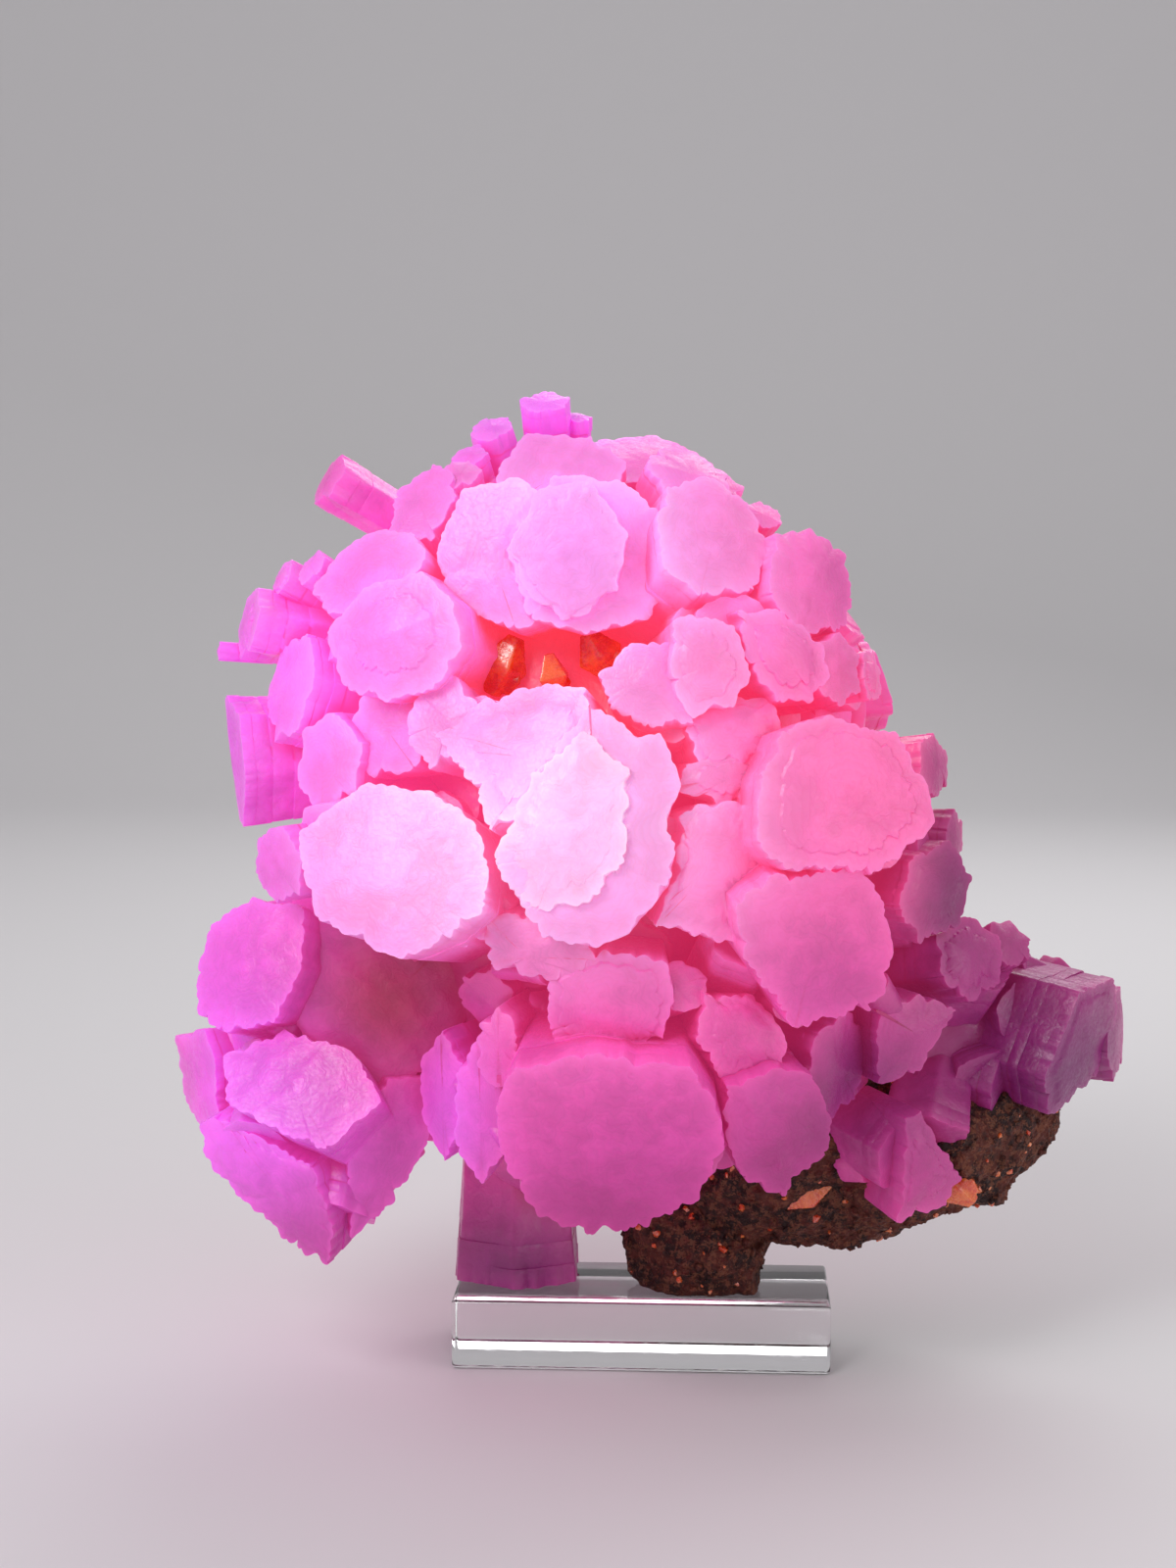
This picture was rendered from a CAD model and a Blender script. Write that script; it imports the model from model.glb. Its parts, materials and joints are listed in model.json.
"""Aragonite with sulfur on a small clear acrylic block.

Stubby six-sided twins stand out from one grown-together mass, on a lump of dark rock with sulfur crystals.
The frame gives the pieces their places: X to the right, Y away from the front, Z up, from the middle of
the block's underside. Shapes are worked out in millimetres and turned into metres when a mesh is made.
"""

import json
import logging
import math
import random
from dataclasses import dataclass, replace
from enum import Enum
from functools import lru_cache

import bmesh
import bpy
import numpy as np
from mathutils import Matrix, Vector, noise
from mathutils.kdtree import KDTree

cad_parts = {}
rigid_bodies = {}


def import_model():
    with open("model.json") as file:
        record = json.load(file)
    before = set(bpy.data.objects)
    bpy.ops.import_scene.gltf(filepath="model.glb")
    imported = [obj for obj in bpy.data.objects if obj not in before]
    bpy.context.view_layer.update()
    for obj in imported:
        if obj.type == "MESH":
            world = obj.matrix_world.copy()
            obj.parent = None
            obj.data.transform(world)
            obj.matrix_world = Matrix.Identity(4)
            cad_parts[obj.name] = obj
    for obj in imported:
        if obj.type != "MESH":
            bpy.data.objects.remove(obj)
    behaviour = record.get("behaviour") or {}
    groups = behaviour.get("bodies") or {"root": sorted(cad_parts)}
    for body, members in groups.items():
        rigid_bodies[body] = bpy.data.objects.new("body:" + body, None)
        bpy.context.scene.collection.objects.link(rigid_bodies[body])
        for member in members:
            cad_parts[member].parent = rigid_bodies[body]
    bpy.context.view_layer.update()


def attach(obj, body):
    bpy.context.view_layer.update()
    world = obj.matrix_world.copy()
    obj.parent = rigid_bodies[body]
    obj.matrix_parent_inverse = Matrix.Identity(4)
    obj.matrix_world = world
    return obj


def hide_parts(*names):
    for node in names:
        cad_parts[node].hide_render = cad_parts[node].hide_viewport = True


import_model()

LOG = logging.getLogger("aragonite_with_sulfur")
MM = 0.001

Point = tuple[float, float, float]
Colour = tuple[float, float, float]
Outline = tuple[tuple[float, float], ...]

# A prism's width at its root, as a share of its width at the tip
ROOT_TAPER = 0.78

# Turning a six-sided face this far brings it back onto itself
SIXTH_TURN = 60.0

# A golden-angle spiral spreads points evenly over a ball
SPIRAL_TURN = math.pi * (3.0 - math.sqrt(5.0))
SPIRAL_SEED = 11
SPIRAL_TILT = 12.0
SPIRAL_SINK = (-3.0, 5.0)
STEEPEST = 85.0

# The open pocket at the front: spread crystals keep out of its room, and small ones may come nearer
CAVITY_CENTRE = (-16.0, -42.0, 145.0)
CAVITY_ROOM = 22.0
CAVITY_MARGIN = 3.0

# The open space between the foot and the left wing
UNDER_WING_SIDES = (-50.0, -14.0)
UNDER_WING_TOP = 54.0

# The specimen stands this high, just clear of the block's top
REST_HEIGHT = 14.3

# Where the back is split into an upper and a lower piece, and the small crystals into front and back ones
BACK_SPLIT_HEIGHT = 118.0
FRONT_LIMIT = -8.0

# Edges sharper than this many degrees stay crisp
ARAGONITE_CREASE = 34.0
ROCK_CREASE = 40.0
PLAIN_CREASE = 30.0


class Tint(Enum):
    """Hues of the crystals as the eye sees them, from the pale heart to the dusky wing."""

    HEART = (1.0, 0.74, 0.96)
    CROWN = (1.0, 0.63, 0.96)
    ORCHID = (1.0, 0.47, 0.93)
    LILAC = (0.92, 0.42, 0.98)
    SALMON = (0.98, 0.40, 0.67)
    ROSE = (0.92, 0.35, 0.66)
    MAUVE = (0.81, 0.27, 0.62)
    VIOLET = (0.92, 0.38, 0.92)
    DUSK = (0.60, 0.16, 0.44)
    PLUM = (0.40, 0.07, 0.34)
    RECESS = (0.64, 0.18, 0.32)
    EMBER = (0.98, 0.38, 0.46)


@dataclass(frozen=True)
class Prism:
    """One six-sided crystal: the middle of its end face, where that face looks, and the face's outline."""

    tip: Point
    yaw: float
    pitch: float
    outline: Outline
    length: float


def hexagon(width: float, height: float, spin: float = 0.0) -> Outline:
    """The corners of a six-sided face.

    Args:
        width: The face's width in millimetres.
        height: The face's height in millimetres.
        spin: How far the face is turned, in degrees.

    Returns:
        Six corners, as right and up from the middle of the face.
    """
    corners = []
    for k in range(6):
        angle = math.radians(SIXTH_TURN * k + spin)
        corners.append((0.5 * width * math.cos(angle), 0.5 * height * math.sin(angle)))
    return tuple(corners)


CROWN = (
    Prism((-12, -52, 165), 0, 5, (
        (-6, 11), (4, 13), (11, 3), (9, -8), (0, -14), (-8, -8), (-12, 0),
    ), 46),
    Prism((-8, -46, 164), 5, 8, (
        (-8, 15), (6, 14), (12, 9), (16, -2), (11, -12), (-1, -15), (-12, -12), (-16, 1),
    ), 42),
    Prism((-25, -43, 163), -10, 12, (
        (-8, 14), (3, 16), (9, 12), (10, -11), (3, -14), (-10, -9), (-13, 2),
    ), 40),
    Prism((-15, -34, 178), 0, 40, (
        (-12, 2), (-7, 12), (6, 12), (13, 5), (12, -8), (0, -12), (-11, -8),
    ), 50),
    Prism((-20, 0, 193), -5, 60, hexagon(12, 11, 30), 34),
    Prism((-30, -4, 188), -15, 58, hexagon(11, 11), 34),
    Prism((-34, -10, 182), -20, 50, hexagon(9, 10, 15), 30),
    Prism((-13, 4, 190), 10, 65, hexagon(7, 7, 10), 26),
    Prism((0, -14, 182), 12, 58, hexagon(26, 22, 10), 48),
    Prism((-42, -26, 173), -22, 38, ((-7, 2), (-1, 11), (4, 9), (8, 2), (6, -9), (-4, -10)), 42),
    Prism((-35, -20, 179), -15, 50, hexagon(10, 11, 20), 32),
    Prism((-62, -8, 178), -62, 30, hexagon(15, 13, 20), 38),
)
RIGHT_SHOULDER = (
    Prism((15, -42, 169), 30, 28, (
        (-9, 9), (1, 11), (8, 5), (11, -5), (4, -14), (-8, -15), (-14, -9), (-13, 1),
    ), 46),
    Prism((9, -33, 179), 25, 48, ((-8, 4), (-2, 9), (5, 7), (9, 0), (6, -9), (-6, -9)), 42),
    Prism((33, -38, 159), 45, 18, (
        (-7, 10), (2, 11), (11, 5), (11, -4), (5, -10), (-9, -10), (-13, -2),
    ), 46),
    Prism((23, -27, 171), 38, 40, hexagon(10, 8, 15), 32),
    Prism((16, -23, 176), 30, 48, hexagon(10, 9), 32),
    Prism((27, -50, 146), 28, 10, ((-9, 9), (0, 9), (9, 3), (10, -4), (6, -9), (-2, -9), (-8, -2)), 42),
    Prism((37, -42, 143), 45, 12, hexagon(17, 15, 20), 42),
    Prism((44, -32, 141), 68, 8, hexagon(13, 12, 0), 40),
    Prism((14, -57, 145), 15, 10, (
        (-7, 8), (-2, 10), (5, 7), (8, -2), (4, -8), (-4, -10), (-8, -3),
    ), 40),
    Prism((2, -56, 141), 0, 15, ((-9, 2), (-3, 8), (4, 9), (8, 8), (9, -7), (0, -8), (-7, -4)), 40),
)
LEFT_SHOULDER = (
    Prism((-46, -50, 149), -22, 10, (
        (-13, 1), (-6, 10), (6, 13), (14, 7), (16, -1), (11, -9), (0, -12), (-8, -10),
    ), 45),
    Prism((-50, -38, 161), -28, 30, (
        (-13, -4), (-9, 6), (-2, 10), (7, 9), (13, 3), (10, -8), (-6, -10),
    ), 46),
    Prism((-70, -18, 159), -58, 25, hexagon(9, 9, 10), 34),
    Prism((-63, -24, 161), -48, 30, hexagon(9, 9, 40), 34),
    Prism((-77, -18, 150), -68, 10, hexagon(19, 16, 20), 42),
    Prism((-84, -10, 144), -78, 5, hexagon(5, 5), 24),
    Prism((-67, -28, 138), -55, 15, hexagon(20, 24, 15), 42),
    Prism((-80, -18, 123), -70, -3, ((-10, 6), (-3, 13), (8, 10), (11, -2), (5, -13), (-7, -9)), 44),
    Prism((-46, -42, 131), -20, 10, hexagon(20, 19, 10), 38),
    Prism((-58, -40, 125), -35, 5, hexagon(18, 21, 25), 40),
    Prism((-35, -52, 134), -15, 15, hexagon(16, 19, 20), 40),
)
HEART = (
    Prism((-18, -61, 129), -18, 22, (
        (-21, 4), (-14, 10), (-1, 14), (9, 13), (11, 3), (5, -9), (-6, -15), (-11, -7),
    ), 50),
    Prism((-8, -66, 114), 0, 10, (
        (-11, 10), (0, 26), (9, 20), (13, 20), (17, 11), (14, 3),
        (16, 0), (15, -8), (8, -16), (1, -19), (-8, -17), (-17, -4),
    ), 52),
    Prism((-10, -67, 115), -2, 10, (
        (-15, -4), (-8, 12), (1, 20), (10, 12), (9, -4), (3, -12), (-7, -14),
    ), 40),
    Prism((-44, -60, 108), -15, 15, (
        (-19, 6), (-14, 10), (-6, 16), (7, 15), (16, 10), (19, 2),
        (19, -6), (13, -12), (4, -16), (-4, -14), (-13, -10), (-17, -1),
    ), 50),
    Prism((-33, -53, 99), -8, 0, hexagon(24, 16, 15), 40),
    Prism((-67, -42, 106), -45, 0, hexagon(17, 17, 20), 42),
)
RIGHT_FLANK = (
    Prism((18, -54, 132), 15, 15, ((-10, 4), (-4, 8), (8, 7), (11, -2), (4, -7), (-7, -6)), 42),
    Prism((17, -56, 124), 12, 5, hexagon(21, 10, 20), 40),
    Prism((15, -60, 108), 10, 5, (
        (-7, 11), (-2, 13), (7, 13), (11, 7), (10, -13), (0, -13), (-12, -10), (-8, 0),
    ), 46),
    Prism((38, -59, 122), 25, 10, (
        (-12, 13), (-3, 15), (12, 11), (17, 1), (18, -6),
        (12, -11), (4, -15), (-14, -13), (-18, -8), (-17, 4),
    ), 52),
    Prism((33, -59, 94), 20, -10, (
        (-10, 15), (8, 15), (12, 10), (15, -1), (14, -9), (12, -13), (-4, -16), (-15, 0), (-17, 10),
    ), 50),
    Prism((56, -30, 124), 62, 8, hexagon(17, 15, 15), 42),
    Prism((60, -26, 110), 70, 2, hexagon(13, 12, 30), 42),
    Prism((56, -36, 101), 45, 0, hexagon(23, 21, 10), 44),
)
LOWER_FRONT = (
    Prism((-18, -57, 93), -5, 0, ((-10, 7), (11, 7), (12, -2), (4, -6), (-9, -4)), 42),
    Prism((-4, -57, 83), 0, -5, (
        (-12, 7), (-1, 11), (10, 9), (12, 1), (10, -7), (-5, -11), (-12, -6),
    ), 44),
    Prism((-4, -60, 58), 0, -15, (
        (-18, 16), (-4, 19), (14, 17), (20, 8), (21, -1), (16, -13),
        (6, -19), (-4, -20), (-14, -16), (-20, -5), (-21, 7),
    ), 50),
    Prism((-37, -41, 62), -30, -5, hexagon(12, 27, 30), 40),
    Prism((-29, -48, 61), -15, -5, hexagon(12, 30, 30), 40),
    Prism((-25, -52, 74), -12, 0, hexagon(10, 18, 30), 40),
    Prism((27, -51, 58), 20, -15, (
        (-12, 11), (-3, 14), (6, 12), (10, 3), (10, -5), (2, -14), (-7, -9), (-12, 3),
    ), 46),
    Prism((20, -52, 77), 20, 5, ((-8, 9), (2, 8), (9, 0), (8, -8), (-4, -9), (-10, 0)), 42),
    Prism((8, -53, 86), 10, 18, hexagon(13, 11, 20), 40),
    Prism((38, -38, 68), 42, -8, hexagon(20, 25, 20), 40),
    Prism((-26, 1, REST_HEIGHT), 0, -90, (
        (-14, -10), (-12, 8), (0, 13), (13, 7), (13, -9), (1, -12),
    ), 36),
)
LEFT_WING = (
    Prism((-75, -32, 85), -25, 18, (
        (-13, -2), (-11, 8), (-2, 14), (11, 13), (13, 2), (9, -10), (-4, -14), (-11, -10),
    ), 44),
    Prism((-89, -14, 58), -55, -5, ((-10, 8), (4, 12), (9, 6), (8, -8), (0, -11), (-8, -5)), 38),
    Prism((-66, -42, 64), -12, 28, (
        (-15, 6), (-3, 12), (12, 9), (19, -1), (10, -12), (0, -9), (-12, -4),
    ), 44),
    Prism((-69, -37, 41), -20, -10, (
        (-18, 13), (-13, 16), (9, 8), (12, -4), (10, -14), (2, -11), (-17, 5),
    ), 44),
    Prism((-48, -34, 49), 22, -5, (
        (0, 15), (9, 15), (9, 2), (2, -10), (-7, -17), (-9, -4), (-5, 8),
    ), 42),
)
RIGHT_WING = (
    Prism((88, -12, 67), 58, -10, ((-17, -4), (-9, 13), (8, 13), (14, 4), (10, -9), (-10, -14)), 52),
    Prism((96, 4, 66), 72, 0, hexagon(22, 21, 10), 46),
    Prism((64, -26, 87), 40, 15, hexagon(20, 18, 20), 42),
    Prism((72, -16, 88), 45, 30, hexagon(14, 12, 0), 40),
    Prism((52, -36, 74), 25, 0, ((-9, 6), (2, 8), (10, 4), (2, -8), (-7, -10)), 40),
    Prism((56, -30, 47), 32, -8, ((-7, 11), (-3, 12), (9, -4), (6, -10), (-6, -12)), 36),
)
RECESS = (
    Prism((-49, -29, 80), 8, 6, (
        (-19, 13), (0, 18), (20, 16), (20, 2), (12, -14), (1, -20), (-8, -18), (-18, -6),
    ), 36),
)
BACK_FOOT = (
    Prism((-31, 27, 42), 196, -22, hexagon(17, 15, 10), 26),
    Prism((-12, 31, 36), 178, -30, hexagon(20, 17, 25), 28),
    Prism((9, 29, 41), 162, -24, hexagon(18, 16, 5), 26),
    Prism((-24, 22, 31), 186, -46, hexagon(14, 12, 15), 24),
    Prism((1, 21, 31), 170, -48, hexagon(13, 12, 35), 24),
)


@dataclass(frozen=True)
class Cover:
    """Crystals spread over an ellipsoid, where it looks away from the front by a share within front.

    No tip is below lowest, and flattest is the least height of an end face against its width.
    """

    centre: Point
    half: Point
    count: int
    sizes: tuple[float, float]
    front: tuple[float, float]
    lowest: float
    length: float
    flattest: float = 0.8

    def prisms(self, chance: random.Random) -> tuple[Prism, ...]:
        """The crystals of this cover, square to its surface but for a little tilt.

        Args:
            chance: The random numbers, which every cover shares in turn.

        Returns:
            The crystals that the cover keeps.
        """
        found = []
        for step in range(self.count):
            height = 1.0 - 2.0 * (step + 0.5) / self.count
            reach = math.sqrt(1.0 - height * height)
            angle = step * SPIRAL_TURN
            out = Vector((reach * math.cos(angle), reach * math.sin(angle), height))
            size = chance.uniform(*self.sizes)
            sink = chance.uniform(*SPIRAL_SINK)
            tilt = chance.uniform(-SPIRAL_TILT, SPIRAL_TILT)
            swing = chance.uniform(-SPIRAL_TILT, SPIRAL_TILT)
            height_share = chance.uniform(self.flattest, 1.0)
            outline = hexagon(size, size * height_share, chance.uniform(0.0, SIXTH_TURN))
            tip = Vector(self.centre) + Vector(out[k] * (self.half[k] - sink) for k in range(3))
            in_cavity = (tip - Vector(CAVITY_CENTRE)).length < CAVITY_ROOM
            if not self.front[0] <= out.y < self.front[1] or tip.z < self.lowest or in_cavity:
                continue
            normal = Vector(out[k] / self.half[k] for k in range(3)).normalized()
            yaw = math.degrees(math.atan2(normal.x, -normal.y)) + swing
            pitch = min(math.degrees(math.asin(normal.z)) + tilt, STEEPEST)
            found.append(Prism(tuple(tip), yaw, pitch, outline, self.length))
        return tuple(found)


BACK_COVER = Cover((-9, 3, 110), (59, 55, 74), 66, (24, 34), (-0.30, 1.1), 34, 38)
FRONT_COVER = Cover((-9, 0, 108), (56, 46, 74), 90, (15, 22), (-1.1, -0.30), 40, 26)
LEFT_COVER = Cover((-55, -4, 68), (33, 27, 30), 30, (15, 22), (0.0, 1.1), 42, 26)
RIGHT_COVER = Cover((56, 4, 66), (34, 25, 22), 30, (14, 20), (-0.35, 1.1), 60, 26)

# Grown-together roots: centre and half sizes
ROOTS = (
    ((-9, 3, 110), (52, 43, 72)),
    ((-8, 4, 58), (36, 27, 32)),
    ((-52, -8, 68), (26, 20, 22)),
    ((52, 2, 68), (28, 21, 20)),
)


def facing(yaw: float, pitch: float) -> np.ndarray:
    """The turn from a crystal's own directions to the frame's.

    Args:
        yaw: Degrees to the right of the front that the end face looks.
        pitch: Degrees above level that it looks.

    Returns:
        A matrix whose columns are the face's right, its up and its way out.
    """
    turn, lift = math.radians(yaw), math.radians(pitch)
    out = np.array((math.sin(turn) * math.cos(lift), -math.cos(turn) * math.cos(lift), math.sin(lift)))
    right = np.array((math.cos(turn), math.sin(turn), 0.0))
    return np.column_stack([right, np.cross(out, right), out])


def anticlockwise(outline: Outline) -> np.ndarray:
    """The corners of an outline in their order round its middle, one a row."""
    return np.array(sorted(outline, key=lambda corner: math.atan2(corner[1], corner[0])), float)


def evenly_round(corners: np.ndarray, count: int) -> np.ndarray:
    """Points spread evenly round a closed outline.

    Args:
        corners: The outline's corners, one a row.
        count: How many points to place.

    Returns:
        The points, one a row, with the first at the first corner.
    """
    around = np.vstack([corners, corners[:1]])
    steps = np.linalg.norm(np.diff(around, axis=0), axis=1)
    reached = np.concatenate([[0.0], np.cumsum(steps)])
    wanted = np.arange(count) * reached[-1] / count
    return np.column_stack([np.interp(wanted, reached, around[:, k]) for k in range(2)])


def eased(ring: np.ndarray, passes: int) -> np.ndarray:
    """A ring of points with its corners softened.

    Args:
        ring: The points, one a row.
        passes: How many times each point moves halfway to the middle of its neighbours.

    Returns:
        The softened ring.
    """
    for _ in range(passes):
        ring = 0.5 * ring + 0.25 * (np.roll(ring, 1, axis=0) + np.roll(ring, -1, axis=0))
    return ring


def inward(ring: np.ndarray) -> np.ndarray:
    """The direction into the face at each point of a ring that runs anticlockwise.

    Args:
        ring: The points, one a row.

    Returns:
        One direction a row.
    """
    along = np.roll(ring, -1, axis=0) - np.roll(ring, 1, axis=0)
    along /= np.maximum(np.linalg.norm(along, axis=1, keepdims=True), 1e-9)
    return np.column_stack([-along[:, 1], along[:, 0]])


@dataclass(frozen=True)
class Habit:
    """How finely a crystal is cut and how its rim, sides and end face are worn, in millimetres.

    Each kind of lobe along the rim has a least width, a greatest width and a deepest notch. A value named
    every is the usual distance between features, and a fade is the depth over which one falls to a third.
    """

    spacing: float = 0.55
    warp: float = 0.0
    lobes: tuple[Point, ...] = ((3.4, 7.5, 1.5), (1.4, 3.0, 0.8))
    break_every: float = 15.0
    tooth_every: float = 1.1
    tooth_depth: float = 0.16
    rim_fade: float = 3.2
    plate: tuple[float, float] = (2.0, 7.5)
    plated_depth: float = 11.0
    ledge: float = 0.42
    ledge_every: float = 11.0
    groove: float = 0.8
    groove_every: float = 6.5
    groove_fade: float = 16.0
    flute: float = 0.16
    flute_every: float = 1.5
    facets: tuple[int, int] = (2, 4)
    facet_slope: tuple[float, float] = (0.04, 0.15)
    facet_fade: float = 7.0
    dome: tuple[float, float] = (0.1, 0.5)
    terrace_step: tuple[float, float] = (0.2, 0.5)
    terraces: tuple[int, ...] = (0, 0, 1)
    riser: float = 0.45
    relief: float = 0.09
    relief_every: tuple[float, float] = (9.0, 26.0)
    cap_spacing: float = 1.6


FINE = Habit()
BARE = Habit(terraces=(0,), ledge=0.2, groove=0.4)
HIDDEN = Habit(
    spacing=1.0,
    warp=0.16,
    lobes=((3.4, 7.5, 1.4),),
    plate=(3.0, 8.0),
    plated_depth=9.0,
    cap_spacing=2.4,
)
SMALL = Habit(
    spacing=0.85,
    warp=0.14,
    lobes=((2.2, 5.0, 0.8),),
    tooth_depth=0.0,
    plate=(2.0, 5.0),
    plated_depth=5.0,
    ledge=0.3,
    groove=0.4,
    dome=(0.1, 0.3),
    terraces=(0,),
    cap_spacing=2.2,
)
COARSE = replace(SMALL, spacing=1.3, plate=(3.0, 6.0), plated_depth=3.0, cap_spacing=3.2)


@dataclass
class Shell:
    """A closed skin of triangles and, on the aragonite, what is marked at each of its points.

    The marks are nearness to a rim, place between a face's rim and its middle, depth below the tip, and the
    crystal's own shade, each from 0 to 1.
    """

    points: np.ndarray
    triangles: np.ndarray
    marks: np.ndarray | None = None


MARKS = ("rim", "contour", "depth", "shade")


def bridge(first: np.ndarray, second: np.ndarray) -> np.ndarray:
    """The triangles between two rings, the second with as many points as the first or with half as many.

    Args:
        first: The numbers of the first ring's points.
        second: The numbers of the second ring's points.

    Returns:
        The triangles, as rows of three point numbers.
    """
    if len(first) == len(second):
        a, b = first, np.roll(first, -1)
        c, d = second, np.roll(second, -1)
        return np.vstack([np.column_stack([a, b, d]), np.column_stack([a, d, c])])
    a, b, c = first[0::2], first[1::2], np.roll(first, -2)[0::2]
    d, e = second, np.roll(second, -1)
    return np.vstack([np.column_stack([a, b, d]), np.column_stack([b, e, d]), np.column_stack([b, c, e])])


def stacked(rings: list[np.ndarray], root: Point, tip: Point) -> tuple[np.ndarray, np.ndarray]:
    """Joins a stack of rings in one closed skin, with a point in the middle of each end.

    Args:
        rings: The rings from the root up, each with as many points as the one below or with half as many.
        root: The point that closes the root.
        tip: The point that closes the tip.

    Returns:
        The points, with the two ends last, and the triangles.
    """
    counts = [len(ring) for ring in rings]
    starts = np.cumsum([0, *counts])
    numbers = [np.arange(start, start + count) for start, count in zip(starts, counts)]
    triangles = [bridge(lower, upper) for lower, upper in zip(numbers, numbers[1:])]
    for ring, end in ((numbers[0][::-1], starts[-1]), (numbers[-1], starts[-1] + 1)):
        triangles.append(np.column_stack([ring, np.roll(ring, -1), np.full(len(ring), end)]))
    return np.vstack([*rings, root, tip]), np.vstack(triangles)


# How far a warped corner moves in, as shares of the habit's warp
CORNER_SHIFT = (-0.15, 1.0)

# Where a facet of the end face starts, as shares of the radius from its middle
FACET_START = (-0.15, 0.55)

# An outline never moves in further than this share of the radius
DEEPEST_INSET = 0.45

# Levels down a plate: the share of its thickness, and how far its edge is worn in
PLATE_LEVELS = ((0.0, 0.1), (0.1, 0.0), (0.9, 0.0), (1.0, 0.12))

# The first plate's thickness against the others, and the share of the length that plates may take up
FIRST_PLATE = 0.6
PLATED_SHARE = 0.6

# Only the highest of a wavering value cuts a groove
GROOVE_LIMIT = 0.55

# How deeply a rim is broken: a wavering value scaled, raised and kept within limits, more on lower edges
BREAK_SWING = 1.6
BREAK_START = 0.3
BREAK_LIMITS = (0.65, 1.15)
UPPER_BREAK = 0.8
LOWER_BREAK = 0.4

# How far a wavering value's knots stray, and the powers that shape a notch's depth and a lobe's curve
KNOT_STRAY = 0.3
NOTCH_POWER = 0.8
LOBE_POWER = 1.6

# From this radius up, a crystal's end face has its full dome
FULL_DOME_RADIUS = 10.0

# Nearness to the rim falls to a third over this depth, and a point this deep is marked deepest
NEAR_FADE = 1.8
DEEPEST_MARK = 40.0

# How far the end face's middle and its terraces stray, and a terrace's size against the one below
MIDDLE_STRAY = 0.14
TERRACE_STRAY = 0.05
TERRACE_SHARES = (0.58, 0.86)

# Rings of the end face keep at least this many points
FEWEST_POINTS = 16


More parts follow.
